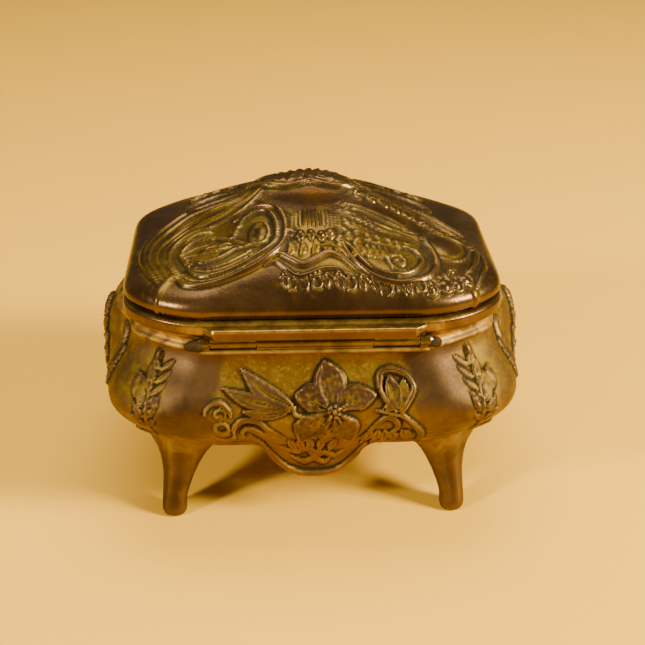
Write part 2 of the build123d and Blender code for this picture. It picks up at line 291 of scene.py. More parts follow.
def leaf(relief, points, half=2.2, height=1.1, veins=5, base=0.15, cup=0.35):
    """Leaf: width follows sin(pi * along^0.8); its section is domed, dips at the midrib, rises
    towards its rim and is crossed by oblique veins."""
    line = flow(points)
    which = relief.near(line, half * 1.15)
    if not len(which):
        return
    distance, side, along = nearest(relief.place[which], line)
    width = half * np.maximum(np.sin(np.pi * np.clip(along, 0.0, 1) ** 0.8), base * (along < 0.5))
    width = np.maximum(width, 0.02)
    q = np.clip(distance / width, 0, 1)
    body = np.clip(1 - q ** 4, 0, 1) ** 0.7
    vein = 0.07 * np.sin(2 * np.pi * (veins * along - 1.5 * distance / half)) * q * (1 - q) * 4
    middle = 0.42 * np.exp(-(distance / (0.15 * half)) ** 2) * (1 - along)
    shape = height * body * (1 - cup + cup * q ** 2 + vein - middle)
    relief.lay(which, shape)


def petal(relief, points, half=4.0, height=1.6, ruffle=0.10, folds=3.0, base=0.22):
    """Petal: widest at two thirds of its length, with a wavy rim that curls up, soft folds that run
    out from its foot, and shallow lumps that are a product of two slanting waves."""
    line = flow(points)
    which = relief.near(line, half * 1.3)
    if not len(which):
        return
    distance, side, along = nearest(relief.place[which], line)
    spread = base + (1 - base) * np.sin(np.pi * np.clip(along, 0, 1) ** 1.25) ** 0.75
    tip = np.sqrt(np.clip(1 - along ** 8, 0, 1))
    width = half * spread * tip * (1 + ruffle * np.sin(9 * along + 2.2 * np.sign(side)))
    width = np.maximum(width, 0.02)
    q = np.clip(distance / width, 0, 1)
    body = np.clip(1 - q ** 5, 0, 1) ** 0.6
    angle = side / width * folds * np.pi
    shape = 0.50 + 0.42 * q ** 2 + 0.10 * np.cos(angle) * (1 - 0.4 * q) + 0.10 * along ** 2
    shape = shape - 0.22 * np.exp(-(side / (0.12 * half)) ** 2) * (1 - along)
    lumps = (np.sin(1.9 * relief.place[which, 0] + 0.7 * relief.place[which, 1])
             * np.sin(1.6 * relief.place[which, 1] - 0.5 * relief.place[which, 0]))
    relief.lay(which, height * body * (shape + 0.10 * lumps))


def pearl(relief, u, v, radius_u, radius_v=None, height=0.8, turn=0.0):
    """Rounded boss: the height of an ellipsoid over an ellipse turned by an angle in degrees."""
    radius_v = radius_v or radius_u
    line = np.array([[u, v]])
    which = relief.near(line, max(radius_u, radius_v))
    d = relief.place[which] - [u, v]
    c, s = math.cos(math.radians(turn)), math.sin(math.radians(turn))
    e = ((d[:, 0] * c + d[:, 1] * s) / radius_u) ** 2 + ((d[:, 1] * c - d[:, 0] * s) / radius_v) ** 2
    relief.lay(which, height * np.clip(1 - e, 0, 1) ** 0.6)


def curl(centre, start_radius, end_radius, start_angle, end_angle, squeeze=1.0, count=14):
    """Points of a spiral: the radius changes evenly with the angle; squeeze flattens it in v."""
    angle = np.radians(np.linspace(start_angle, end_angle, count))
    radius = np.linspace(start_radius, end_radius, count)
    return np.stack([centre[0] + radius * np.cos(angle),
                     centre[1] + squeeze * radius * np.sin(angle)], -1)


def between(first, second, share, count=12):
    """A line part of the way from one line to another, both taken at the same count of points."""
    return flow(first, count) * (1 - share) + flow(second, count) * share


# %% [markdown]
# ## The case's smooth form
# The wall starts inside the rim, rolls over a rounded lip, drops down a polished hollow collar and
# swells to the belly. Below the belly it draws in to a hem, which hangs down as an apron in the
# middle of each side. The form is a profile (offset from the collar at each level) carried round the
# outline. Only the lowest rows know where the hem is, so the aprons cost no extra pieces.

# %% Case form
COLUMNS = 840
BELLY_Z = 43.5
COLLAR_X = 56.3
COLLAR_Y = 42.0
WALL = 2.2
belly_swell = case_high[1] - COLLAR_Y - 0.3


def side_swell(z):
    """Offset of the wall beyond the collar: half a cosine wave above the belly, a quarter sine wave
    under it, and a squared fall to the apron's foot."""
    upper = belly_swell * (1 + np.cos(np.pi * np.clip((z - BELLY_Z) / (63 - BELLY_Z), 0, 1))) / 2
    lower = 3 + (belly_swell - 3) * np.sin(np.pi / 2 * np.clip((z - 33) / (BELLY_Z - 33), 0, 1))
    apron = -1 + 4 * np.clip((z - 18) / 15, -0.3, 1) ** 2
    return np.where(z > BELLY_Z, upper, np.where(z > 33, lower, apron))


def corner_cut(z):
    """Length cut off each end by level: it grows by half a cosine wave from collar to belly, and
    slowly again below the hem's level."""
    upper = 22 + 4 * (1 + np.cos(np.pi * np.clip((z - BELLY_Z) / (63 - BELLY_Z), 0, 1))) / 2
    return np.where(z > BELLY_Z, upper, np.where(z > 33, 26.5, 27 + (33 - z) * 0.2))


def corner_bow(z):
    """How far a cut bows out by level: fullest at the belly, least at the collar and the apron."""
    upper = 1.5 + 4.5 * (1 + np.cos(np.pi * np.clip((z - BELLY_Z) / (63 - BELLY_Z), 0, 1))) / 2
    lower = 4 + 2 * np.sin(np.pi / 2 * np.clip((z - 33) / (BELLY_Z - 33), 0, 1))
    return np.where(z > BELLY_Z, upper, np.where(z > 33, lower, np.clip(4 - (33 - z) * 0.13, 2, 4)))


# distance along the belly from the middle of the back, which is how ornament is placed
belly = outline(COLLAR_X + belly_swell, COLLAR_Y + belly_swell, 26, 6, COLUMNS)[0]
step = np.linalg.norm(np.roll(belly, -1, axis=0) - belly, axis=1)
travel = np.concatenate([[0], np.cumsum(step)[:-1]])
girth = step.sum()
at_fifty = np.interp(50.0, belly[:COLUMNS // 4, 0], travel[:COLUMNS // 4])
quarter_girth = girth / 4
near_middle = np.abs(((travel + girth / 4) % (girth / 2)) - girth / 4)
column_u = np.where(near_middle < at_fifty,
                    np.interp(near_middle, travel[:COLUMNS // 4 + 1], belly[:COLUMNS // 4 + 1, 0]),
                    50 + near_middle - at_fifty)
column_sign = np.where(((travel + girth / 4) % (girth / 2)) - girth / 4 >= 0, 1.0, -1.0)
column_u = column_u * column_sign
END_U = 50 + quarter_girth - at_fifty
print("girth", round(girth, 1), "mm; end middle at u", round(END_U, 1))

# where the hem hangs, for every column: the side aprons, the end aprons and the plain hem
hem_side = np.interp(column_u, [-23, -20.4, -18.4, -15.5, -11.5, -6, 0, 6.5, 11.5, 15.5, 18.3, 20.2, 22.5],
                     [31, 29.6, 25.5, 21.4, 18.6, 17.3, 17.0, 17.3, 18.8, 21.4, 25.3, 29.6, 31])
hem_end = np.interp(END_U - np.abs(column_u), [0, 5, 9, 11.5, 13.5, 16],
                    [18.0, 18.7, 22.0, 27.0, 30.4, 31.0])
hem = np.minimum(hem_side, hem_end)
hem = soften(np.stack([hem, hem]), 3.0)[0]

# rows from inside the rim, over the lip, down the collar, the belly and the apron
inner = np.array([(60.0, -WALL), (66.0, -WALL), (68.5, -WALL), (68.93, -WALL + 0.25), (69.0, -1.6)])
lip = np.array([(69.0, -0.55), (68.85, -0.12), (68.5, 0.12), (68.0, 0.22), (67.5, 0.16), (67.1, -0.08),
                (66.7, -0.45), (66.2, -0.72), (65.6, -0.80), (65.0, -0.72), (64.5, -0.45),
                (64.1, -0.05), (63.7, 0.25), (63.25, 0.34), (62.8, 0.26)])
wall_rows = 68
skirt_rows = 26
dense_z = np.linspace(62.5, 33, 2000)
dense_s = np.concatenate([[0], np.cumsum(np.hypot(np.diff(dense_z), np.diff(side_swell(dense_z))))])
wall_z = np.interp(np.linspace(0, dense_s[-1], wall_rows), dense_s, dense_z)
level = np.concatenate([inner[:, 0], lip[:, 0], wall_z])
offset = np.concatenate([inner[:, 1], lip[:, 1], side_swell(wall_z)])
upper_z = np.repeat(level[:, None], COLUMNS, 1)
drop = np.linspace(0, 1, skirt_rows + 1)[1:, None]
skirt_z = 33 + (hem[None, :] - 33) * drop


def wall_point(z, swell):
    """Places on the case for a grid of levels and offsets: outlines worked out at fine steps of
    level, then read at each column's own level."""
    table_z = np.linspace(16.0, 70.0, 220)
    flat = outline(np.full(220, COLLAR_X), np.full(220, COLLAR_Y), corner_cut(table_z),
                   corner_bow(table_z), COLUMNS)
    grown = outline(np.full(220, COLLAR_X + 1), np.full(220, COLLAR_Y + 1), corner_cut(table_z),
                    corner_bow(table_z), COLUMNS)
    place = (z - table_z[0]) / (table_z[1] - table_z[0])
    low = np.clip(place.astype(int), 0, 218)
    share = (place - low)[..., None]
    column = np.arange(COLUMNS)[None, :].repeat(z.shape[0], 0)
    base = flat[low, column] * (1 - share) + flat[low + 1, column] * share
    growth = (grown - flat)[low, column]
    xy = base + growth * swell[..., None]
    return np.concatenate([xy, z[..., None]], -1)


case_upper = wall_point(upper_z, np.repeat(offset[:, None], COLUMNS, 1))
case_skirt = wall_point(skirt_z, side_swell(skirt_z))
hem_turn = np.array([(-0.35, -0.35), (-0.45, -1.1), (-0.1, -1.85), (0.5, -2.2)])
case_turn = np.stack([wall_point((hem + rise)[None], (side_swell(hem) + shift)[None])[0]
                      for rise, shift in hem_turn])
case_form = np.concatenate([case_upper, case_skirt, case_turn])
print("case form", case_form.shape)

# %% [markdown]
# ## Ornament of the case
# In the middle of each long side there is a spray: a big open blossom, three leaves to one side, a
# bud on a long stem to the other, and scrolls that run down into a ruffled apron. A smaller spray
# climbs each corner, and a scallop shell covers each end. The points below are (distance along
# the belly, height above the table) in millimetres.

# %% Draw the spray
case_u = np.repeat(column_u[None], case_form.shape[0], 0)
case_v = case_form[..., 2].copy()
spray = Relief(case_u, case_v)

for start, tip, half in (((6.2, 47.4), (25, 58.2), 2.7), ((7.8, 47.6), (29.6, 53.0), 2.3),
                         ((7.4, 46.6), (22.6, 46.6), 2.1)):
    middle = ((start[0] + tip[0]) / 2 + 0.6, (start[1] + tip[1]) / 2 - 1.0)
    leaf(spray, [start, middle, tip], half=half, height=1.5, veins=7)
rib(spray, [(6.8, 47.4), (5.9, 45.2), (3.5, 44.6)], 0.7, 1.2, thin=(0.8, 0.8))

petal(spray, [(-5.4, 46.6), (-4.6, 52.5), (-3.2, 59.8)], half=5.6, height=1.9)
petal(spray, [(-6.0, 46.6), (-12.0, 49.8), (-19.0, 50.4)], half=3.6, height=1.8)
petal(spray, [(-4.6, 46.8), (0.6, 49.6), (6.4, 51.0)], half=3.7, height=1.8)
petal(spray, [(-4.8, 45.6), (0.8, 40.8), (5.6, 33.8)], half=5.0, height=2.0)
petal(spray, [(-6.4, 45.4), (-9.2, 40.2), (-12.6, 33.2)], half=4.4, height=1.9)
petal(spray, [(-5.6, 45.0), (-4.4, 38.6), (-3.2, 31.6)], half=3.4, height=1.5)
for k in range(7):
    angle = 2 * math.pi * k / 7
    pearl(spray, -5.6 + 1.5 * math.cos(angle), 46.3 + 1.5 * math.sin(angle), 0.75, height=2.5)
pearl(spray, -5.6, 46.3, 1.1, height=2.7)
for end in ((-1.2, 48.6), (-9.6, 48.2), (-2.6, 42.2), (-8.2, 41.8)):
    rib(spray, [(-5.6, 46.3), end], 0.35, 2.1, thin=(0.9, 0.5))

# curls below the leaves
rib(spray, [(33.4, 45.4), (33.2, 47.4), (31, 49.2), (28.2, 48.6), (26, 46.4), (25.4, 44.6)], 0.95, 1.1)
rib(spray, curl((29.2, 45.6), 2.2, 0.7, 200, -80), 0.6, 0.9)
rib(spray, curl((29, 40.6), 2.1, 2.1, 0, 360), 0.7, 0.9, thin=(1, 1))
rib(spray, [(33.0, 36.4), (30.4, 34.4), (27.6, 35.2), (26.2, 37.6)], 0.8, 0.9)
rib(spray, [(26.6, 36.4), (25.4, 40.4), (23.4, 42.8), (20.6, 43.8), (17.2, 42.8), (15.2, 40.2),
            (12.2, 36.6), (10.2, 33.6)], 1.15, 1.3, groove=0.35)
rib(spray, [(24.2, 35.2), (23.2, 38.6), (20.8, 40.6), (18.2, 39.8), (16.6, 37.0)], 0.8, 1.0)
rib(spray, [(20.4, 34.0), (19.2, 29.5), (17.6, 26.0), (15.0, 22.6), (11.2, 20.0), (6.4, 18.5), (0, 18.2),
            (-6, 18.5), (-11.2, 19.8), (-14.9, 22.6), (-17.8, 26.4), (-19.6, 31.0)], 1.3, 1.5,
    thin=(0.7, 0.7), groove=0.3)
rib(spray, [(21.6, 37.6), (20.6, 34.0), (19.0, 31.2)], 0.9, 1.1)
for left, right, rise in ((14.0, -3.0, 28.2), (3.5, -12.0, 26.2), (10.5, -7.5, 23.6)):
    rib(spray, [(left, rise + 2.0), (left * 0.6 + right * 0.2, rise - 0.6),
                (left * 0.35 + right * 0.45, rise + 0.7), (left * 0.1 + right * 0.75, rise - 0.8),
                (right, rise + 1.6)], 1.4, 1.1, groove=0.2)
for u0 in (9.5, 6.0, 2.0, -2.5, -7.5):
    leaf(spray, [(u0, 33.5), (u0 * 0.9, 30.5), (u0 * 0.72, 27.0)], half=1.7, height=1.0, veins=3)

# bud and its double stem on the other side of the blossom
rib(spray, [(-20.2, 52.6), (-21.0, 55.9), (-25, 57.0), (-29.4, 55.6), (-31, 52.4), (-28.6, 48.8),
            (-26.3, 46.0)], 1.0, 1.5, thin=(0.8, 0.8), groove=0.3)
rib(spray, [(-21.6, 55.4), (-20.6, 52.4), (-21.6, 49.2), (-24.4, 45.8)], 0.8, 1.3, thin=(0.8, 0.8))
petal(spray, [(-25.4, 46.4), (-24.4, 50.6), (-24.0, 55.6)], half=2.6, height=1.6, folds=2)
petal(spray, [(-25.8, 46.6), (-27.4, 50.6), (-28.6, 54.6)], half=2.0, height=1.3, folds=2)
leaf(spray, [(-20.6, 46.6), (-23.4, 47.6), (-26.4, 50.2)], half=1.4, height=1.5, veins=3)
rib(spray, [(-18.6, 46.2), (-22.5, 45.2), (-27.5, 43.6), (-33, 39.4), (-37.2, 34.4), (-40.6, 30.6)],
    0.75, 1.15, thin=(0.7, 0.5))
rib(spray, [(-25.5, 46.0), (-29.6, 41.8), (-34.6, 36.6), (-38.2, 31.4)], 0.65, 1.0, thin=(0.7, 0.5))
rib(spray, [(-15.8, 33.0), (-17.4, 37.6), (-18.8, 41.2), (-21.4, 43.8), (-24.4, 42.8), (-25.8, 39.6),
            (-24.2, 37.0), (-22.4, 38.2)], 1.05, 1.3, groove=0.3)
for k, (foot, tip) in enumerate((((-18, 38), (-17.4, 31.2)), ((-20, 38.4), (-21.2, 31.0)),
                                ((-22.4, 37.6), (-25.0, 31.2)), ((-24.6, 37.2), (-28.8, 32.2)),
                                ((-27.6, 38.4), (-32.4, 33.6)))):
    leaf(spray, [foot, ((foot[0] + tip[0]) / 2 - 0.5, (foot[1] + tip[1]) / 2), tip],
         half=1.7, height=1.15, veins=4)
print("spray covers", round(float(spray.cover.mean()), 3), "of the case")

# %% [markdown]
# Each corner carries its own small climbing spray, and each end a scallop shell. Both are
# laid the same way on the left and on the right, because such boxes repeat their corners.


# %% Corner and end ornament
def corner_spray(relief, side):
    """Stem with paired feather leaves that climbs a corner; side is +1 or -1 along the belly."""
    def at(u, v):
        return (side * u, v)
    rib(relief, [at(51.5, 38.0), at(51.0, 43.5), at(51.8, 49.0), at(54.6, 56.5)], 0.6, 1.0)
    for k in range(6):
        v = 41.0 + 3.0 * k
        leaf(relief, [at(51.5 + 0.25 * k, v), at(54.0 + 0.3 * k, v + 1.8), at(56.8, v + 3.8)],
             half=1.35, height=1.15, veins=3)
        leaf(relief, [at(51.5 + 0.25 * k, v), at(49.8, v + 1.9), at(48.2, v + 3.4)],
             half=1.0, height=0.85, veins=3)
    pearl(relief, side * 55.2, 59.4, 1.6, 2.2, 1.3)
    petal(relief, [at(52, 48), at(57.2, 51.2), at(60.4, 54.4)], half=1.9, height=1.2, folds=2)
    for k in range(5):
        angle = 2 * math.pi * k / 5 + 0.4
        pearl(relief, side * 50.6 + 1.5 * math.cos(angle), 47.6 + 1.5 * math.sin(angle), 1.0, height=1.1)
    rib(relief, [at(51.5, 38), at(54.5, 34.6), at(58.0, 35.6), at(57.6, 38.4)], 0.8, 1.0)


def end_shell(relief, side, middle):
    """Scallop shell about the end's middle, with scrolls under it. It is the same on both sides of
    the middle, so that the two halves of the case meet."""
    def at(u, v):
        return (side * (middle - u), v)
    for k, angle in enumerate(np.radians([90, 72, 54, 36, 18, 2])):
        c, t = math.cos(angle), math.sin(angle)
        long = 19.5 - 0.6 * k
        petal(relief, [at(1.5 * c, 44 + 1.5 * t), at(0.55 * long * c, 44 + 0.55 * long * t * 0.95),
                       at(long * c, 44 + long * t * 0.92)], half=3.3, height=2.0, folds=1.0, ruffle=0.03)
        rib(relief, [at(3 * c, 44 + 3 * t), at(long * 0.9 * c, 44 + long * 0.86 * t)], 0.4, 2.0,
            thin=(0.3, 0.8))
    pearl(relief, side * middle, 42.6, 4.2, 3.4, 2.4)
    rib(relief, [at(0, 39.0), at(4.5, 39.6), at(7.5, 42.6)], 1.1, 1.9, thin=(0.9, 0.4))
    rib(relief, [at(x, z) for x, z in ((20, 45.5), (24.5, 48.5), (27.5, 54.0), (25.8, 59.5), (22.2, 60.5),
                                       (21.6, 57.4))], 1.3, 1.7, groove=0.35)
    rib(relief, [at(x, z) for x, z in ((8, 38.5), (14, 38.8), (19.5, 36.0), (23.5, 38.0), (23.0, 42.0),
                                       (19.8, 42.6))], 1.2, 1.5, groove=0.35)
    for k in range(4):
        leaf(relief, [at(23.5 + 0.6 * k, 44 + 3.4 * k), at(27.5 + 0.5 * k, 45.5 + 3.2 * k),
                      at(31.0 + 0.2 * k, 49.0 + 2.6 * k)], half=1.7, height=1.3, veins=4)
    rib(relief, [at(x, z) for x, z in ((0, 19.1), (5, 19.8), (8.6, 23), (11, 27.6), (13.4, 31.4),
                                       (18, 32.4))], 1.0, 1.2, groove=0.3)
    for x in (1.5, 5.0, 8.4):
        leaf(relief, [at(x, 35.5), at(x * 0.9, 29.5), at(x * 0.8, 24 - 0.3 * x)], half=1.8,
             height=1.1, veins=4)


for side in (1, -1):
    corner_spray(spray, side)
    end_shell(spray, side, END_U)
print("ornament covers", round(float(spray.cover.mean()), 3), "of the case")


# %% [markdown]
# ## Lifting the form by its relief
# The relief is added along the smooth form's normals. Two things are measured on the way for the
# finish: how far a place lies below or above its surroundings, and how near it is to ornament. Gilding
# survives in sheltered places, and browning and rubbing happen where fingers reach. The pale rub on
# ridges is also a painted highlight.


# %% Lift and measure
def lift(form, relief_height, normals, cover, reach, around=True):
    """Moves each point out along its normal by the relief, and returns the moved points with what
    the finish needs: the darkening of places below their surroundings and the paling of ridges, from
    the height less its local average, and the nearness of ornament."""
    wide = soften(relief_height, reach, around)
    fine = relief_height - wide
    tight = relief_height - soften(relief_height, reach * 0.36, around)
    values = {
        "hollow": np.clip(-fine / 0.50, 0, 1) * 0.75 + np.clip(-tight / 0.22, 0, 1) * 0.75,
        "edge": np.clip((tight - 0.07) / 0.24, 0, 1) * 0.75,
        "gilding": soften(cover, reach * 2.2, around) - 1.0 * ease(0.35, 1.1, relief_height),
        "relief": relief_height,
    }
    return form + normals * relief_height[..., None], values


case_relief = spray.field()
rows_from_lip = len(inner) + len(lip)
fade_in = np.ones(case_form.shape[0])
fade_in[:rows_from_lip] = 0
fade_in[rows_from_lip:rows_from_lip + 4] = (0.2, 0.5, 0.8, 0.95)
fade_in[-4:] = (0.9, 0.5, 0.1, 0)
case_relief = case_relief * fade_in[:, None]

# soft lobes at the corners, and a shallow sunk panel behind the spray
lobes = 1.0 * np.exp(-((np.abs(case_u) - 40.5) / 6.5) ** 2) * np.exp(-((case_v - 50) / 9.0) ** 2)
lobes -= 0.45 * ease(32, 27, np.abs(case_u)) * ease(30, 36, case_v) * ease(62.5, 58, case_v)
end_gap = END_U - np.abs(case_u)
boss = np.exp(-(end_gap / 20.0) ** 4) * np.interp(case_v, [40, 45, 50, 54, 57.5, 61, 63.5, 65.5, 66.5],
                                                  [0, 0.8, 3.4, 6.3, 7.9, 7.9, 5.6, 1.6, 0])
boss = soften(boss, 2.0)
bead_gap = np.abs(case_v - (hem[None] + 1.0))
bead = 0.55 * np.clip(1 - (bead_gap / 0.9) ** 2, 0, 1) * (case_v < 34) * fade_in[:, None]
ground = lobes * fade_in[:, None]
case_relief = np.maximum(case_relief, bead)
case_normals = grid_normals(case_form)
if (case_normals[40, 0, 1]) < 0:
    case_normals = -case_normals
level_out = case_normals * [1, 1, 0]
level_out /= np.maximum(np.linalg.norm(level_out, axis=-1, keepdims=True), 0.2)
boss_out = level_out * (boss * (np.arange(case_form.shape[0]) >= rows_from_lip - 5)[:, None])[..., None]
case_points, case_values = lift(case_form + case_normals * ground[..., None] + boss_out, case_relief,
                                case_normals, spray.cover.reshape(case_u.shape), 2.6)
panel = ease(33, 27, np.abs(case_u)) * ease(64, 60, case_v)
past_corner = ease(48, 56, np.abs(case_u))
low_belly = ease(40, 33, case_v)
ground_gold = np.maximum.reduce([0.62 * panel, 0.34 * past_corner, 0.40 * low_belly])
case_values["gilding"] = np.clip(0.75 * case_values["gilding"] + ground_gold, 0, 1)
case_values["gilding"] -= 0.55 * ease(0.5, 1.3, case_relief)
# The case is painted warmer orange towards its foot: a painted reflection of the warm floor's bounce light.
case_values["warm"] = 0.45 * ease(37, 31, case_v)
# The rim and collar take a patchy bright gold: polished gilding, whose brightest patches are painted glints.
collar_gold = np.zeros(case_u.shape)
collar_gold[:rows_from_lip] = 1.0
case_values["collar"] = soften(collar_gold, 1.5)

# the blossom's highest folds are pressed back a little, so that the box keeps its depth
PRESS_FROM, PRESS_BY = 51.3, 0.65
over_deep = np.clip(np.abs(case_points[..., 1]) - PRESS_FROM, 0, None)
pressed = over_deep - PRESS_BY * (1 - np.exp(-over_deep / PRESS_BY))
case_points[..., 1] -= np.sign(case_points[..., 1]) * pressed

# the lip is cut back behind the hinge, so that the lid's knuckles turn freely
behind_hinge = ease(38, 36, np.abs(case_points[..., 0])) * (case_points[..., 1] > 0)
case_points[..., 1] -= behind_hinge * np.clip(case_points[..., 1] - 42.05, 0, 3) * (case_v > 65.3)
case_skin = surface("case_skin", case_points, values=case_values)
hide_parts("case_shell")

# %% [markdown]
# ## Underside of the case
# Turned over, the case shows a flat ledge inside the hem and the bottom plate in it. The ledge is a
# coarse grid: it needs no relief, only to meet the skin's own last ring so that no gap shows.

# %% Underside
ring = case_points[-1]
WAY_X, WAY_Y = 30.0, 36.8
LEDGE_Z = 31.0
reach_in = np.maximum(np.abs(ring[:, 0]) / WAY_X, np.abs(ring[:, 1]) / WAY_Y)
way = ring[:, :2] / reach_in[:, None]
inset = ring[:, :2] * (1 - 0.25 / np.linalg.norm(ring[:, :2], axis=1, keepdims=True))
rows = [ring, np.column_stack([inset, np.maximum(ring[:, 2], LEDGE_Z + 0.02)])]
for share in (0.03, 0.5, 0.97):
    rows.append(np.column_stack([inset * (1 - share) + way * share, np.full(COLUMNS, LEDGE_Z)]))
rows.append(np.column_stack([way, np.full(COLUMNS, LEDGE_Z + 0.15)]))
rows.append(np.column_stack([way, np.full(COLUMNS, 33.0)]))
underside = surface("case_underside", np.stack(rows)[:, ::2])
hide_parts("case_shell")

# %% [markdown]
# ## Legs
# Four short cabriole legs spread from the cut corners. Each is a knee that narrows to an ankle and
# ends in a small rounded foot, with a keel down its outer side and a groove on each side of it. A leg
# is a grid of angle by height: a radius for each level, pulled in or out by the angle.


# %% Leg grid
def leg_points(sign_x, sign_y, around=72, rows=64):
    """Points of a leg: rings whose radius follows the knee, shin, ankle and foot by level, whose
    centre travels outwards as it goes down, and whose angle profile adds keel and grooves."""
    z_key = np.array([0.0, 0.25, 0.9, 2.2, 4.2, 6.5, 9.3, 13.5, 18.6, 22.5, 26.3, 29.5, 31.5, 34.5, 37.5])
    r_key = np.array([2.6, 3.35, 4.0, 4.2, 4.0, 3.95, 4.3, 5.1, 6.8, 8.8, 11.6, 14.0, 14.6, 13.0, 8.0])
    narrow = np.array([1.0, 1.0, 1.0, 1.0, 1.0, 1.0, 0.99, 0.94, 0.84, 0.75, 0.66, 0.60, 0.58, 0.58, 0.7])
    out_key = np.array([7.6, 7.6, 7.6, 7.5, 7.2, 6.7, 5.8, 4.1, 2.4, 1.4, 0.6, 0.3, 0.5, 0.2, -1.0])
    z = np.concatenate([[0.0, 0.12, 0.3, 0.6], np.linspace(1.0, 37.5, rows - 4)])
    radius = np.interp(z, z_key, r_key)
    out = np.interp(z, z_key, out_key)
    kernel = np.array([1, 2, 3, 2, 1]) / 9
    radius[4:] = np.convolve(np.pad(radius, 2, "edge"), kernel, "valid")[4:]
    out[4:] = np.convolve(np.pad(out, 2, "edge"), kernel, "valid")[4:]
    angle = np.linspace(0, 2 * np.pi, around, endpoint=False)[None, :]
    grown = ease(1.5, 6.0, z)[:, None]
    keel = 0.55 * np.exp(-(np.sin(angle / 2) / 0.10) ** 2) * grown
    grooves = -0.28 * np.exp(-((np.abs(np.angle(np.exp(1j * angle))) - 0.55) / 0.16) ** 2) * grown
    lobes = 0.35 * np.exp(-((np.abs(np.angle(np.exp(1j * angle))) - 1.05) / 0.28) ** 2) * grown
    leafed = 0.5 * np.exp(-((np.abs(np.angle(np.exp(1j * angle))) - 0.75) / 0.2) ** 2)
    leafed = leafed * np.clip(1 - np.abs(z[:, None] - 26.0) / 4.5, 0, 1)
    flat_back = 1 - 0.12 * np.clip(-np.cos(angle), 0, 1)
    slim = np.interp(z, z_key, narrow)[:, None]
    form = radius[:, None] * flat_back * (slim + (1 - slim) * np.sin(angle) ** 2)
    detail = keel + grooves + lobes + leafed
    r = form + detail
    ox, oy = math.sin(math.atan(CORNER_RATIO)), math.cos(math.atan(CORNER_RATIO))
    cx = sign_x * (40.9 + out * ox)[:, None]
    cy = sign_y * (28.7 + out * oy)[:, None]
    forward = np.array([sign_x * ox, sign_y * oy])
    sideways = np.array([-forward[1], forward[0]])
    x = cx + r * (np.cos(angle) * forward[0] + np.sin(angle) * sideways[0])
    y = cy + r * (np.cos(angle) * forward[1] + np.sin(angle) * sideways[1])
    zz = np.repeat(z[:, None], around, 1)
    # Darker in the grooves, with dirt, and towards the top, where the leg runs in under the case's belly, as
    # painted shade.
    hollow = np.clip(-detail / 0.3, 0, 1) * 0.35 + 0.35 * ease(27, 31, zz)
    edge = np.clip(detail / 0.5, 0, 1) * 0.22 + 0.12 * ease(4.5, 1.5, zz)
    gild = 0.02 + 0.42 * ease(17, 29, zz)
    return np.stack([x, y, zz], -1), {"hollow": hollow, "edge": edge, "gilding": gild,
                                     "relief": np.clip(detail, 0, 1), "collar": 0 * hollow}


legs = []
for end, sign_y in (("front", -1), ("back", 1)):
    for side, sign_x in (("left", -1), ("right", 1)):
        name = f"leg_{end}_{side}"
        low, high = span(name)
        sx = 1 if (low[0] + high[0]) > 0 else -1
        sy = 1 if (low[1] + high[1]) > 0 else -1
        points, values = leg_points(sx, sy)
        leg = surface(name + "_cast", points, caps=("first", "last"), flip=False, values=values)
        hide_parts(name)
        legs.append(leg)

# %% [markdown]
# ## The lid's dome
# The dome rises from its band in a soft cushion, draws in steeply and ends in a raised crest. It is
# laid out as square rings, not as spokes: ring after ring of a square sheet is stretched onto the
# outline at its level. The points are then spread evenly and no spoke centre pinches the crown.

# %% Dome form
SIDE = 315
BAND_TOP = 73.3
LID_X = lid_high[0]
LID_Y = lid_high[1]
DOME = lid_high[2] - BAND_TOP
shape_key = np.array([(0.0, 0.066), (0.02, 0.036), (0.05, 0.014), (0.085, 0.002), (0.12, 0.0), (0.17, 0.009),
                      (0.24, 0.032), (0.30, 0.062), (0.36, 0.102), (0.449, 0.16), (0.549, 0.25),
                      (0.65, 0.35), (0.75, 0.465), (0.85, 0.635), (0.922, 0.81), (0.938, 1.0)])


def dome_table(levels=220, columns=1200):
    """Outlines of the dome from the crown (share 0) to the band (share 1), evenly spaced along its
    profile, with the inward travel and rise smoothed."""
    rise = shape_key[:, 0] * DOME
    out = (1 - shape_key[:, 1]) * LID_X
    run = np.concatenate([[0], np.cumsum(np.hypot(np.diff(rise), np.diff(out)))])
    q = np.linspace(0, run[-1], levels)
    rise_q, out_q = np.interp(q, run, rise), np.interp(q, run, out)
    weights = np.exp(-0.5 * (np.arange(-16, 17) / 5.0) ** 2)
    weights /= weights.sum()

    def smooth(v):
        longer = np.concatenate([2 * v[0] - v[16:0:-1], v, 2 * v[-1] - v[-2:-18:-1]])
        return np.convolve(longer, weights, "valid")
    rise_q, out_q = smooth(rise_q), smooth(out_q)
    inward = np.clip(1 - out_q / LID_X, 0, 1)
    half_x = (1 - 0.93 * inward) * LID_X
    half_x = np.where(inward > 0.8, (1 - 0.93 * 0.8) * LID_X * (1 - inward) / 0.2, half_x)
    half_y = (1 - inward) * LID_Y
    cut = np.minimum.reduce([24 * (1 + 5 * inward ** 2) - 0.704 * inward * LID_Y,
                             0.9 * half_y / CORNER_RATIO, 0.9 * half_x])
    rings = outline(half_x, half_y, np.maximum(cut, 0), 3.0 * (1 - inward), columns)
    return rings[::-1], (BAND_TOP + rise_q)[::-1]


rings, ring_z = dome_table()
side = np.linspace(-1, 1, SIDE)
gx, gy = np.meshgrid(side, side, indexing="xy")
share = np.maximum(np.abs(gx), np.abs(gy))
# angle round the square, from the middle of the back (+Y) towards +X, in quarter turns
safe = np.maximum(share, 1e-9)
px, py = gx / safe, gy / safe
turn = np.where((py >= 1) & (px >= 0), px / 2,
                np.where(px >= 1, 0.5 + (1 - py) / 2,
                         np.where(py <= -1, 1.5 + (1 - px) / 2,
                                  np.where(px <= -1, 2.5 + (py + 1) / 2, 3.5 + (px + 1) / 2))))
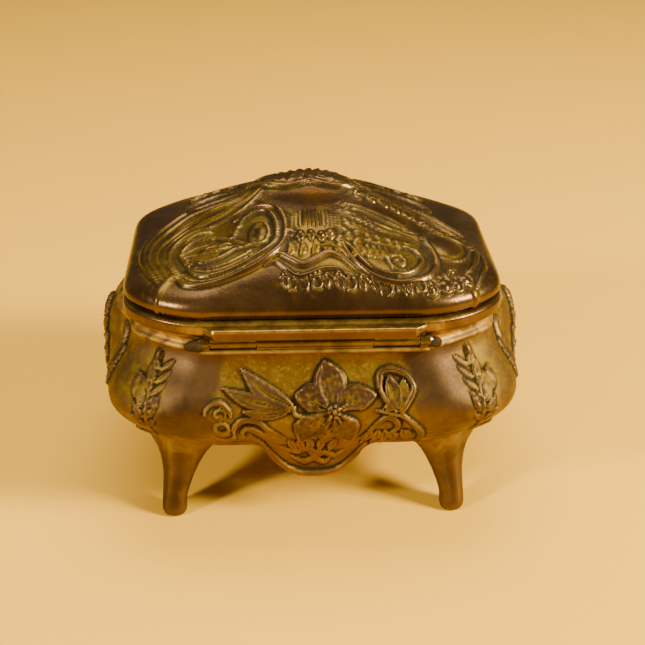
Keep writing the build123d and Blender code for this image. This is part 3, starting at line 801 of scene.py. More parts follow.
# a square's corner meets the outline's cut corner, so the turn is mapped to the outline's share
quarter = np.floor(turn)
part = turn - quarter
mirror = (quarter % 2) == 1
bent = np.interp(np.where(mirror, 1 - part, part), [0, 0.5, 1.0], [0, 0.58, 1.0])
around = (quarter + np.where(mirror, 1 - bent, bent)) / 4 % 1
row = share * (len(rings) - 1)
col = around * rings.shape[1]
r0 = np.clip(row.astype(int), 0, len(rings) - 2)
c0 = np.floor(col).astype(int)
fr, fc = (row - r0)[..., None], (col - c0)[..., None]
c0, c1 = c0 % rings.shape[1], (c0 + 1) % rings.shape[1]
plan = ((rings[r0, c0] * (1 - fc) + rings[r0, c1] * fc) * (1 - fr)
        + (rings[r0 + 1, c0] * (1 - fc) + rings[r0 + 1, c1] * fc) * fr)
height = ring_z[r0] * (1 - fr[..., 0]) + ring_z[r0 + 1] * fr[..., 0]
dome_form = np.concatenate([plan, height[..., None]], -1)
# the dome's far corners are rounder than its outline alone makes them
high_up = ease(78, 91, dome_form[..., 2])
sideways = np.abs(dome_form[..., 0])
far_side = ease(22, -16, dome_form[..., 1])
dome_form[..., 2] -= high_up * (2.2 * ease(12, 30, sideways) + 2.6 * ease(24, 50, sideways))
to_right = ease(8, -30, dome_form[..., 0])
sag = far_side * (0.10 + 0.14 * to_right) * ease(12, 48, sideways)
dome_form[..., 2] -= sag * np.maximum(dome_form[..., 2] - BAND_TOP, 0)
corner_pull = (far_side * ease(76, 94, np.abs(dome_form[..., 0]) + np.abs(dome_form[..., 1]))
               * ease(BAND_TOP + 1, BAND_TOP + 7, dome_form[..., 2]))
dome_form[..., 2] -= 1.2 * corner_pull
dome_form[..., :2] -= np.sign(dome_form[..., :2]) * corner_pull[..., None] * [2.6, 1.6]
crest_place = (np.exp(-((dome_form[..., 0] - 3) / 16) ** 6)
               * np.exp(-((dome_form[..., 1] + 13) / 12) ** 4))
dome_form[..., 2] += 2.6 * crest_place
print("dome form", dome_form.shape, "top", round(float(dome_form[..., 2].max()), 2))

# %% [markdown]
# ## Ornament of the dome
# A plain shield in the middle of the back is framed on one side by a great C-shaped scroll with
# flowing lines wrapped round its end, and on the other by a feathered scroll that curls in on itself
# round a smooth boss. Fine fringes hang under the shield and a row of small curled leaves runs along
# the cushion.
# The points are (x, y) in millimetres as seen from above.

# %% Draw the dome's scrolls
dome_x, dome_y = dome_form[..., 0], dome_form[..., 1]
lid_art = Relief(dome_x.copy(), dome_y.copy())

big_outer = [(23.5, 10), (22, 8.2), (17.7, 6.6), (13.8, 7.4), (10.3, 9.6), (8.6, 13.6), (7.8, 18.4),
             (8.2, 23.2), (10, 27.3), (12.8, 30), (15.2, 31.8), (18.6, 33.6), (22, 34.8), (26.2, 36.2),
             (30.4, 37), (34.7, 37), (38.4, 35.8), (40.6, 33.0)]
big_inner = [(24.4, 19), (22.7, 14.2), (20.8, 11.2), (18, 9.6), (15.2, 9.4), (12.8, 10.9), (10.9, 15),
             (10.4, 19.5), (11.1, 24), (13, 27), (15.4, 28.8), (17.8, 30), (20.3, 31.4), (23.7, 32.6),
             (28, 33.6), (32.3, 33.5), (35.6, 31.6), (37.8, 28.4)]
rib(lid_art, big_outer, 1.25, 1.5, thin=(0.3, 0.3))
rib(lid_art, big_inner, 1.1, 1.4, thin=(0.3, 0.3))
rib(lid_art, between(big_outer, big_inner, 0.52, 20), 0.45, 0.75)
rib(lid_art, curl((15.7, 19.6), 2.9, 2.6, -60, 300, squeeze=1.75), 0.75, 1.1, thin=(0.7, 0.5))
pearl(lid_art, 15.7, 19.6, 2.2, 4.0, 0.9)
eye_top = [(17.3, 23.6), (21.2, 21.4), (24.2, 18.8), (27.0, 16.6), (30.5, 15.0), (35, 14.6), (38.6, 16.8),
           (40.4, 20.4)]
eye_low = [(17.3, 23.8), (20.8, 24.0), (23.5, 24.0), (26.3, 25.6), (29, 26.6), (33, 26.6), (36.8, 24.8),
           (39.4, 21.4)]
rib(lid_art, eye_top, 0.75, 1.1, thin=(0.4, 0.4))
rib(lid_art, eye_low, 0.75, 1.1, thin=(0.4, 0.4))
for k in (0.3, 0.62):
    rib(lid_art, between(eye_top, eye_low, k, 12), 0.5, 0.75)
leaf(lid_art, [(25.0, 22.6), (29.6, 20.6), (34.8, 21.4)], half=2.0, height=1.3, veins=4)
sweep_in = [(18.2, 25.8), (20.3, 27.4), (22.8, 28.8), (26.2, 30.0), (30.4, 30.4), (34.7, 28.8), (38.4, 24.6),
            (40.6, 19.8)]
rib(lid_art, sweep_in, 0.7, 1.0)
rib(lid_art, between(sweep_in, big_inner[10:], 0.45, 12), 0.5, 0.8)

# flowing lines that leave the crest, run along the dome and wrap round its end
wrap_in = [(15, -1.5), (18.7, 3), (22.9, 6.2), (28.4, 7.4), (33.5, 7.4), (38, 8.2), (42, 11.5), (44, 16.5),
           (43.6, 22.0), (41.6, 27.0), (39.6, 31.0)]
wrap_out = [(13, -17), (20, -17.5), (28, -17), (36, -14.5), (43, -10.5), (48.5, -3.5), (51.6, 5), (52.4, 14),
            (51, 22), (48.5, 28.5), (45.6, 33.6)]
for k, share_k in enumerate(np.linspace(0, 1, 9)):
    swing = 0.045 * math.sin(2.4 * k)
    rib(lid_art, between(wrap_in, wrap_out, share_k + swing, 16), (1.3, 0.8)[k % 2],
        (1.0, 0.6)[k % 2], thin=(0.4, 0.3), groove=(0.2, 0.0)[k % 2])
for k in range(3):
    rib(lid_art, between(wrap_in, [(14, -6), (19, -3), (25, 0), (31, 2.5), (36, 4), (40.5, 6), (44, 10.5),
                                   (45.5, 16), (45, 21.5), (43, 26.5), (41, 30.5)], k / 2, 14), 0.4, 0.6)
rib(lid_art, [(39.2, 12.8), (36.3, 11.2), (33.6, 10.6), (30.6, 11.2)], 0.7, 1.1)
rib(lid_art, [(46.6, 39.0), (46.0, 36.0), (43.8, 32.0), (41.6, 29.6)], 1.7, 0.55, thin=(0.05, 0.6))

# %% [markdown]
# The other half of the back: an oval scroll with a spiral and small leaves inside it, feather strokes
# above, a smooth boss towards the end, and a beaded garland along the top edge.

# %% Draw the feathered side
oval_outer = [(-9.0, 25.4), (-9.6, 28.4), (-12.2, 32.2), (-16, 35.6), (-20, 37.4), (-24.3, 38.1),
              (-28.3, 37.6), (-33, 35.6), (-36.2, 32), (-37.3, 26.4), (-36.6, 21), (-35, 17.2),
              (-35.0, 13.0), (-37.5, 9.6)]
oval_inner = [(-9.4, 24.2), (-12.2, 28.8), (-15.2, 32.2), (-19, 34.9), (-23.5, 35.7), (-27.8, 34.6),
              (-31, 32), (-32.8, 28.6), (-32.4, 25.4), (-30.6, 23.2), (-27.6, 22.2)]
rib(lid_art, oval_outer, 1.2, 1.5, thin=(0.3, 0.5))
rib(lid_art, oval_inner, 0.95, 1.3, thin=(0.3, 0.5))
rib(lid_art, curl((-25.4, 30.0), 4.0, 1.6, 150, -260, squeeze=1.05), 0.75, 1.15)
pearl(lid_art, -25.2, 30.0, 1.5, 1.7, 1.2)
rib(lid_art, curl((-23.4, 19.0), 2.2, 0.8, 200, -60), 0.6, 0.9)
for k in range(6):
    u = -11.6 - 1.9 * k
    leaf(lid_art, [(u, 31.2 - 0.2 * k), (u - 1.2, 28.2), (u - 0.6, 24.6 - 0.2 * k)], half=1.25,
         height=1.1, veins=3)
feather_top = [(-8.5, 6.5), (-14.0, 7.6), (-20.5, 8.0), (-27.5, 9.2), (-33.2, 12.4)]
feather_low = [(-7.0, 17.0), (-12.5, 20.6), (-19.0, 22.6), (-26.0, 21.8), (-31.6, 20.4)]
for k in range(10):
    lean = 0.05 * math.sin(2.2 * k)
    strand = between(feather_top, feather_low, k / 9 + lean, 10)
    rib(lid_art, strand[k % 3:], 0.62 + 0.15 * (k % 2), 0.62 + 0.14 * (k % 3), thin=(0.1, 0.5))
    if k % 2:
        rib(lid_art, curl(strand[-1] + [0.6, 0.4], 1.5, 0.7, 200, 30), 0.45, 0.8)
for k in range(6):
    u0 = -12.5 - 3.1 * k
    leaf(lid_art, [(u0, 19.0), (u0 - 1.8, 21.2), (u0 - 1.4, 23.8)], half=1.1, height=1.0, veins=2)
pearl(lid_art, -42.0, 15.6, 5.4, 7.2, 1.5, turn=-8)
rib(lid_art, curl((-42.0, 15.6), 7.0, 6.8, 60, 300, squeeze=1.25), 0.6, 0.8)
rib(lid_art, [(-50.5, 10), (-51.2, 17), (-49.6, 24), (-46.8, 29.5)], 1.0, 1.2, groove=0.3)
rib(lid_art, [(-53.0, 16), (-52.8, 24), (-50.4, 31), (-48.6, 36)], 0.8, 1.0)
rib(lid_art, [(-46.2, 33.0), (-47.6, 36.2), (-48.6, 38.6)], 1.5, 0.5, thin=(0.6, 0.05))

# garland of small leaves along the top edge and round the end
garland = flow([(-12, 1.5), (-20, 0.5), (-28, 1.5), (-34.5, 4.0), (-40.0, 4.4), (-45.5, 7.0),
                (-49.5, 12.5)], 26)
for k, (u, v) in enumerate(garland):
    lean = 1.6 if k % 2 else -1.4
    leaf(lid_art, [(u, v), (u - 1.2, v + lean * 0.8), (u - 2.8, v + lean * 1.5)], half=0.9, height=1.1,
         veins=2)
rib(lid_art, garland[::3], 0.5, 0.9)
upper = flow([(-14, -6), (-24, -6), (-33, -4.5), (-41, -1.0), (-47.5, 4.5)], 9)
lower = flow([(-16, -13), (-26, -14), (-36, -12), (-44, -7.5), (-50.5, 0.5)], 9)
for k in range(4):
    rib(lid_art, between(upper, lower, k / 3, 12), (0.9, 0.6)[k % 2], (1.1, 0.8)[k % 2], groove=0.2)

# %% [markdown]
# Under the shield hang a fine fringe and a wavy valance. A frond joins the two scrolls, and a row of
# curled leaves hangs from it over the smooth cushion. The crest is a ribbed shell that stands on the
# crown. The far side of the dome, towards the front, has a plainer set of scrolls.

# %% Fringe, drops and crest
for k in range(15):
    u = 8.0 - 1.15 * k
    rib(lid_art, [(u, 11.6 + 0.05 * (k - 7) ** 2), (u * 1.03, 15.5), (u * 1.06, 19.4 - 0.5 * (k % 2))],
        0.42, 0.55, thin=(0.3, 0.7))
for k, (u, v) in enumerate(((6.4, 21.0), (3.6, 22.6), (0.4, 22.4), (-2.6, 23.0), (-5.4, 21.8),
                            (-8.4, 23.4), (-11.0, 21.6), (-13.6, 23.6))):
    pearl(lid_art, u, v, 1.35, 1.7, 1.2, turn=15 * (-1) ** k)
    rib(lid_art, [(u + 1.5, v + 0.6), (u, v + 2.4), (u - 1.5, v + 0.6)], 0.45, 0.9, thin=(0.7, 0.7))
frond = [(13.8, 31.4), (10.2, 29.6), (6.6, 31.4), (3.2, 33.0), (-0.6, 31.4), (-4.6, 29.6), (-8.4, 31.0),
         (-12.6, 34.6), (-17.5, 37.2)]
rib(lid_art, frond, 1.15, 1.4, groove=0.35)
rib(lid_art, [(14.6, 33.2), (11.4, 32.2), (8.4, 34.2), (5.2, 36.4), (1.6, 36.0), (-3, 34.4), (-7.4, 34.6),
              (-12, 37.2)], 0.85, 1.1)
rib(lid_art, [(-1.2, 27.4), (-4.6, 27.2), (-8.2, 28.6), (-10.4, 31.4)], 0.8, 1.2)
for k in range(5):
    leaf(lid_art, [(7.5 - 3.6 * k, 30.4), (6.4 - 3.6 * k, 28.0), (6.9 - 3.6 * k, 25.6)], half=1.3,
         height=0.9, veins=3)
drop_line = flow([(8.5, 37.4), (4.0, 38.0), (-2.5, 37.6), (-10, 38.0), (-18, 38.8), (-26, 39.2), (-33, 38.0),
                  (-38.5, 35.2), (-42.5, 33.0)], 19)
for k, (u, v) in enumerate(drop_line):
    long = 2.0 + 0.5 * math.sin(2.1 * k)
    lean = math.sin(2.7 * k)
    if k % 3 == 1:
        rib(lid_art, curl((u, v + 0.4), 1.5, 1.2, 40 + 60 * lean, 330, squeeze=1.3), 0.55, 1.0,
            thin=(0.6, 0.6))
    else:
        leaf(lid_art, [(u + 0.9, v - 1.2), (u + 0.5 * lean, v + 0.6), (u - 0.9 + lean, v + long + 0.6)],
             half=1.25, height=1.15, veins=2)
    rib(lid_art, [(u + 1.4, v - 0.7), (u + 0.2, v - 2.0 + 0.4 * lean), (u - 1.3, v - 0.9)], 0.5, 0.9,
        thin=(0.7, 0.7))
for u, v, r in ((-38.6, 37.2, 2.1), (-42.2, 36.4, 1.8), (-45.0, 33.4, 1.9), (-41.2, 31.0, 1.5),
                (-34.6, 39.6, 1.4)):
    pearl(lid_art, u, v, r, r * 1.1, 1.5)
    rib(lid_art, curl((u, v), r * 1.25, r * 1.25, 30, 260), 0.5, 1.0, thin=(0.6, 0.6))

for k in range(13):
    u = 18.0 - 3.0 * k
    rise = 2.2 - 0.6 * abs(u) / 18
    petal(lid_art, [(u * 0.35, -3.0), (u * 0.75, -8.5), (u * 1.02, -17.0 + 0.016 * u * u)], half=2.1,
          height=rise, folds=1, ruffle=0.04)
rib(lid_art, [(19.5, -11.0), (15.5, -5.0), (9.0, -2.0), (3.0, -3.2), (0, -4.4), (-3.0, -3.2), (-9.0, -2.0),
              (-15.5, -5.0), (-19.5, -11.0)], 1.3, 1.9, thin=(0.6, 0.6), groove=0.4)
rib(lid_art, [(20.5, -14), (16, -20), (8, -23), (0, -24), (-8, -23), (-16, -20), (-20.5, -14)], 1.3, 1.6)
for side_x in (1, -1):
    rib(lid_art, [(side_x * u, v) for u, v in ((20, -20), (28, -23), (36, -21), (40, -15), (36, -11),
                                              (31, -13))], 1.1, 1.4, groove=0.3)
    rib(lid_art, [(side_x * u, v) for u, v in ((14, -27), (22, -31), (31, -31), (40, -27))], 1.0, 1.3)
    rib(lid_art, [(side_x * u, v) for u, v in ((2, -33), (10, -36), (20, -36.5), (30, -35))], 0.9, 1.1)
    for k in range(5):
        leaf(lid_art, [(side_x * (8 + 6 * k), -28), (side_x * (10 + 6 * k), -31.5),
                       (side_x * (11 + 6 * k), -35)], half=1.6, height=1.0, veins=3)
print("lid ornament covers", round(float(lid_art.cover.mean()), 3))

# %% Lift the dome
lid_relief = lid_art.field()
edge_fade = ease(1.0, 0.965, share)
lid_relief = lid_relief * edge_fade
dome_normals = grid_normals(dome_form, around=False)
if dome_normals[SIDE // 2, SIDE // 2, 2] < 0:
    dome_normals = -dome_normals
dome_normals = np.stack([soften(dome_normals[..., k], 1.5, False) for k in range(3)], -1)
dome_normals /= np.linalg.norm(dome_normals, axis=-1, keepdims=True)
dome_points, dome_values = lift(dome_form, lid_relief, dome_normals,
                                lid_art.cover.reshape(dome_x.shape), 2.8, around=False)
dome_values["collar"] = np.zeros(dome_x.shape)
shield = np.exp(-((dome_x + 1.0) / 4.5) ** 2 - ((dome_y - 1.5) / 4.5) ** 2)
dome_values["warm"] = shield
inside_scrolls = np.maximum(np.exp(-((dome_x - 28) / 14) ** 2 - ((dome_y - 20) / 11) ** 2),
                            np.exp(-((dome_x + 14) / 22) ** 2 - ((dome_y - 27) / 6) ** 2))
dome_values["gilding"] = np.clip(0.75 * dome_values["gilding"] + 0.45 * inside_scrolls, 0, 1)
dome_skin = surface("lid_dome", dome_points, around=False, values=dome_values, body="lid")
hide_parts("lid_shell")
print("dome done after", round(time.time() - started, 1), "s")

# %% [markdown]
# ## The lid's band and hollow inside
# Round the foot of the dome runs a moulded band: a narrow shoulder that slopes out from the cushion's
# foot, a rounded corner and a plain flat. Near the hinge it is rubbed to pale gold. Inside, the
# casting is hollow, with a low ceiling that stays clear of the dome everywhere. Both come from one
# profile carried round the outline, so the band, its underside and the inside are one skin.

# %% Band
BAND_LOW = lid_low[2]
band_profile = [(-4.2, BAND_TOP + 0.40), (-3.2, BAND_TOP + 0.24), (-2.4, BAND_TOP + 0.10),
                (-1.75, BAND_TOP + 0.02), (-1.2, BAND_TOP - 0.06), (-0.75, BAND_TOP - 0.22),
                (-0.35, BAND_TOP - 0.55), (-0.12, BAND_TOP - 1.0), (-0.02, BAND_TOP - 1.6),
                (0.0, BAND_TOP - 2.6), (-0.08, BAND_LOW + 0.6), (-0.35, BAND_LOW + 0.10), (-0.9, BAND_LOW),
                (-3.3, BAND_LOW), (-3.52, BAND_LOW + 0.2), (-3.6, BAND_LOW + 2.6),
                (-4.6, BAND_LOW + 5.0), (-8.5, BAND_LOW + 7.0), (-15, BAND_LOW + 8.2),
                (-24, BAND_LOW + 9.0), (-32, BAND_LOW + 9.3), (-40.5, BAND_LOW + 9.4)]
path = flow([(0.0, band_profile[0][0], band_profile[0][1])] +
            [(k, s, z) for k, (s, z) in enumerate(band_profile)][1:], 132)
band_offset, band_z = path[:, 1], path[:, 2]
band_x = np.maximum(LID_X + band_offset, 1.0)
band_y = np.maximum(LID_Y + band_offset, 0.6)
band_cut = np.clip(24 + 0.704 * band_offset, 2.0, 0.9 * band_x)
band_cut = np.minimum(band_cut, 0.9 * band_y / CORNER_RATIO)
band_xy = outline(band_x, band_y, band_cut, np.clip(3.0 + band_offset * 0.1, 0, 3), 640)
band_points = np.concatenate([band_xy, np.repeat(band_z[:, None], 640, 1)[..., None]], -1)
outside = (np.arange(132) < 76)[:, None] * np.ones((1, 640))
dip = np.exp(-((band_offset[:, None] + 2.7) / 0.6) ** 2) * outside
roll = np.exp(-((band_z[:, None] - (BAND_TOP - 0.30)) / 0.22) ** 2) * outside
by_hinge = ease(44, 36, np.abs(band_points[..., 0])) * (band_points[..., 1] > 0) * outside
low_edge = ease(BAND_LOW + 1.8, BAND_LOW + 0.3, band_z)[:, None] * outside
# The groove under the cushion is darkened, dirt and painted shade together; the lower edge, where the band
# turns under, is darkened as painted shade; a pale line along the rounded top of the flat is a painted
# highlight.
band_values = {"hollow": dip * 0.65 + 0.5 * low_edge, "edge": roll * 0.6, "gilding": 0.16 + 0.5 * by_hinge,
               "relief": roll * 0, "collar": 0.45 * by_hinge, "warm": 0.18 * (outside - by_hinge)}
band = surface("lid_band", band_points, caps=("last",), values=band_values, body="lid")
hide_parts("lid_shell")

# %% [markdown]
# ## Hinge
# The hinge is a row of short tubes on a pin. The CAD shapes of knuckles and pin are right as they
# are, and stay. What is added is the bed under them, which is part of the case casting, and the two
# lumps of solder that close the row's ends. The leaf is drawn again with the same size and worn,
# rounded corners, because its long edge catches the light.


# %% Bed and solder
def extruded(profile, low_x, high_x, count):
    """Rings of one (y, z) profile repeated along x; the outermost rings are drawn in a little, which
    rounds the ends."""
    x = np.linspace(low_x, high_x, count)
    centre = profile.mean(0)
    tight = np.where((np.arange(count) == 0) | (np.arange(count) == count - 1), 0.82, 1.0)
    yz = centre + (profile - centre) * tight[:, None, None]
    return np.concatenate([np.repeat(x[:, None], len(profile), 1)[..., None], yz], -1)


lug_low, lug_high = span("hinge_end_lug_left")
lug_end = max(abs(lug_low[0]), abs(lug_high[0]))
bed_profile = flow([(40.6, 64.9), (42.4, 65.0), (44.2, 64.9), (45.3, 64.95), (45.58, 64.6), (45.5, 64.1),
                    (44.9, 63.5), (43.9, 63.0), (42.8, 62.4), (41.0, 61.6), (40.2, 62.4), (40.2, 64.2),
                    (40.6, 64.9)], 49)[:-1]
bed_points = extruded(bed_profile, -lug_end, lug_end, 60)
# The bed lies under the knuckles and is painted darker there as painted shade, and pale along its outer lip.
bed_lip = np.repeat(ease(44.6, 45.4, bed_profile[:, 1])[None], 60, 0)
plain = {"hollow": 0.55 * (1 - bed_lip), "edge": 0.55 * bed_lip, "gilding": 0.5 + 0 * bed_lip,
         "relief": 0 * bed_lip, "collar": 0.3 + 0 * bed_lip, "warm": 0 * bed_lip}
bed = surface("hinge_bed", bed_points, caps=("first", "last"), flip=True, values=plain)


def lump(name, centre, size, seed, body="case"):
    """Blob: a sphere's grid of angles, its radius pushed by three slow waves."""
    a = np.linspace(0.04, np.pi - 0.04, 22)[:, None]
    b = np.linspace(0, 2 * np.pi, 36, endpoint=False)[None]
    r = 1 + 0.12 * np.sin(3 * b + seed) * np.sin(a) + 0.10 * np.sin(2 * a + 2 * seed) * np.cos(2 * b)
    points = np.stack([r * np.sin(a) * np.cos(b) * size[0] + centre[0],
                       r * np.sin(a) * np.sin(b) * size[1] + centre[1],
                       r * np.cos(a) * np.ones_like(b) * size[2] + centre[2]], -1)
    zero = 0 * points[..., 0]
    # Dark all over, the solder's own colour, with a pale top that is a painted highlight.
    values = {"hollow": 0.75 + zero, "edge": 0.25 * ease(0.2, 0.9, np.cos(a)) + zero,
              "gilding": 0.1 + zero, "relief": zero, "collar": zero, "warm": zero}
    piece = surface(name, points, caps=("first", "last"), flip=True, values=values, body=body)
    return piece


solder = [lump("solder_left", (-35.3, 43.9, 66.3), (2.6, 1.8, 1.7), 0.4),
          lump("solder_right", (35.4, 44.1, 66.2), (3.1, 2.0, 1.9), 1.7)]


# the leaf is drawn again with rounded corners; its ends slope in towards its free edge
leaf_low, leaf_high = span("lid_hinge_leaf")
back, free, under, over = leaf_low[1], leaf_high[1], leaf_low[2], leaf_high[2]
leaf_profile = flow([(back, over - 0.02), (free - 1.4, over - 0.02), (free - 0.55, over - 0.05),
                     (free - 0.12, over - 0.28), (free - 0.02, over - 0.8), (free - 0.02, under + 0.5),
                     (free - 0.2, under + 0.1), (free - 0.6, under + 0.02), (back, under + 0.02)], 60)
END_SLOPE = 3.5
leaf_half = leaf_high[0] - END_SLOPE * np.clip((leaf_profile[:, 0] - back - 0.4) / (free - back - 0.4), 0, 1)
leaf_share = np.sin(np.linspace(-np.pi / 2, np.pi / 2, 120)) * 0.999
leaf_points = np.stack([leaf_share[:, None] * leaf_half[None],
                        np.repeat(leaf_profile[None, :, 0], 120, 0),
                        np.repeat(leaf_profile[None, :, 1], 120, 0)], -1)
# The leaf's top face is painted paler gold than its sides, which are darker: painted light on the top and
# painted shade on the sides. The top also darkens towards its root, and the rounded long corner gets a pale
# line, a painted highlight.
leaf_corner = np.exp(-((leaf_profile[:, 1] - over + 0.3) / 0.45) ** 2) * ease(free - 1.0, free - 0.3,
                                                                             leaf_profile[:, 0])
leaf_top = ease(over - 0.6, over - 0.1, leaf_profile[:, 1])
leaf_root = ease(free - 1.6, back + 0.2, leaf_profile[:, 0]) * leaf_top
ones = np.ones((120, 1))
leaf_values = {"hollow": ones * (0.6 * leaf_root + 0.15 * (1 - leaf_top)), "edge": ones * leaf_corner * 0.9,
               "gilding": ones * (0.02 + 0.5 * leaf_top), "relief": 0 * leaf_points[..., 0],
               "collar": ones * (0.45 * leaf_top), "warm": ones * (0.18 * (1 - leaf_top))}
hinge_leaf = surface("hinge_leaf", leaf_points, caps=("first", "last"), flip=True, values=leaf_values,
                     body="lid")
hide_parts("lid_hinge_leaf")
print("hinge leaf", np.round(leaf_low, 2).tolist(), np.round(leaf_high, 2).tolist())

# %% [markdown]
# ## Lining
# Inside, the walls are faced with silk gathered into small upright pleats, the floor and the lid
# carry thin stuffed pads, and a twisted cord covers each edge. The pleats are one sheet: its outline
# is pushed in and out by a wave whose depth and spacing wander a little, as hand gathering does.

# %% Pleated wall silk
silk_low, silk_high = span("wall_silk")
silk_inset = COLLAR_X - silk_high[0]
PLEAT_COLUMNS = 2200
silk_rows = 26
silk_z = np.linspace(silk_low[2], silk_high[2] + 0.6, silk_rows)
turn_share = np.linspace(0, 1, PLEAT_COLUMNS, endpoint=False)
gather = np.sin(2 * np.pi * (92 * turn_share + 0.35 * np.sin(2 * np.pi * 5 * turn_share)))
depth = 0.62 * (1 + 0.25 * np.sin(2 * np.pi * 17 * turn_share + 1.0))
pinch = 1 - 0.35 * ease(silk_high[2] - 3, silk_high[2] + 0.6, silk_z)
silk_offset = -(silk_inset + 0.80) + pinch[:, None] * (depth * gather)[None]
flat_ring = outline(COLLAR_X, COLLAR_Y, 22, 1.5, PLEAT_COLUMNS)[0]
inner_ring = outline(COLLAR_X - 1, COLLAR_Y - 1, 21.3, 1.5, PLEAT_COLUMNS)[0]
inward = flat_ring - inner_ring
silk_xy = flat_ring[None] + inward[None] * silk_offset[..., None]
silk_points = np.concatenate([silk_xy, np.repeat(silk_z[:, None], PLEAT_COLUMNS, 1)[..., None]], -1)
# The pleat wave is kept on the silk as its fold mask, for painted shade along the pleats.
silk = surface("wall_silk_pleated", silk_points,
               values={"fold": np.repeat(gather[None], silk_rows, 0)})
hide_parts("wall_silk")

# %% [markdown]
# A twisted cord is a tube whose section is three lobes that turn steadily along it. The centre line
# is the outline drawn in to where the CAD cord runs, so this ring is glued down all round and isn't a
# free cord.


# %% Twisted trim
def twisted_ring(name, node, cut, bow, body, flare, rows=1300, around=20, strands=3, pitch=4.2):
    """Closed tube along the outline: radius times (0.86 + 0.14 * |cos|) of the strands' angle, which
    turns once every pitch."""
    low, high = span(node)
    radius = (high[2] - low[2]) / 2
    z = (high[2] + low[2]) / 2
    centre = outline(high[0] - radius, high[1] - radius, cut, bow, rows)[0]
    ahead = np.roll(centre, -1, axis=0) - np.roll(centre, 1, axis=0)
    ahead /= np.linalg.norm(ahead, axis=1, keepdims=True)
    outward = np.stack([ahead[:, 1], -ahead[:, 0]], -1)
    gone = np.concatenate([[0], np.cumsum(np.linalg.norm(np.diff(centre, axis=0), axis=1))])
    whole = gone[-1] + np.linalg.norm(centre[0] - centre[-1])
    turns = round(whole / pitch)
    angle = np.linspace(0, 2 * np.pi, around, endpoint=False)[None]
    phase = strands * (angle - 2 * np.pi * turns * gone[:, None] / whole) / 2
    r = radius * (0.84 + 0.16 * np.abs(np.cos(phase)))
    xy = centre[:, None] + outward[:, None] * (r * np.cos(angle))[..., None]
    points = np.concatenate([xy, (z + r * np.sin(angle))[..., None]], -1)
    points = np.concatenate([points, points[:1]])
    # The strands' mask, for painted shade in the grooves between the strands.
    values = {"strand": np.concatenate([np.abs(np.cos(phase)), np.abs(np.cos(phase))[:1]])}
    piece = surface(name, points, values=values, body=body, flip=flare)
    weld = piece.modifiers.new("weld", "WELD")
    weld.merge_threshold = 0.00001
    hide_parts(node)
    return piece


wall_cord = twisted_ring("wall_trim_twisted", "wall_trim_cord", 22 - 0.704 * 5, 1.4, "case", True)
lid_cord = twisted_ring("lid_trim_twisted", "lid_trim_cord", 24 - 0.704 * 4.7, 2.8, "lid", True)

# %% [markdown]
# The pads are stuffed fabric. Each starts as a copy of its CAD solid, slightly drawn in, is remeshed
# into even cells and is blown up a little by a short cloth simulation. How far a point may move is
# capped, so a pad stays in its place.


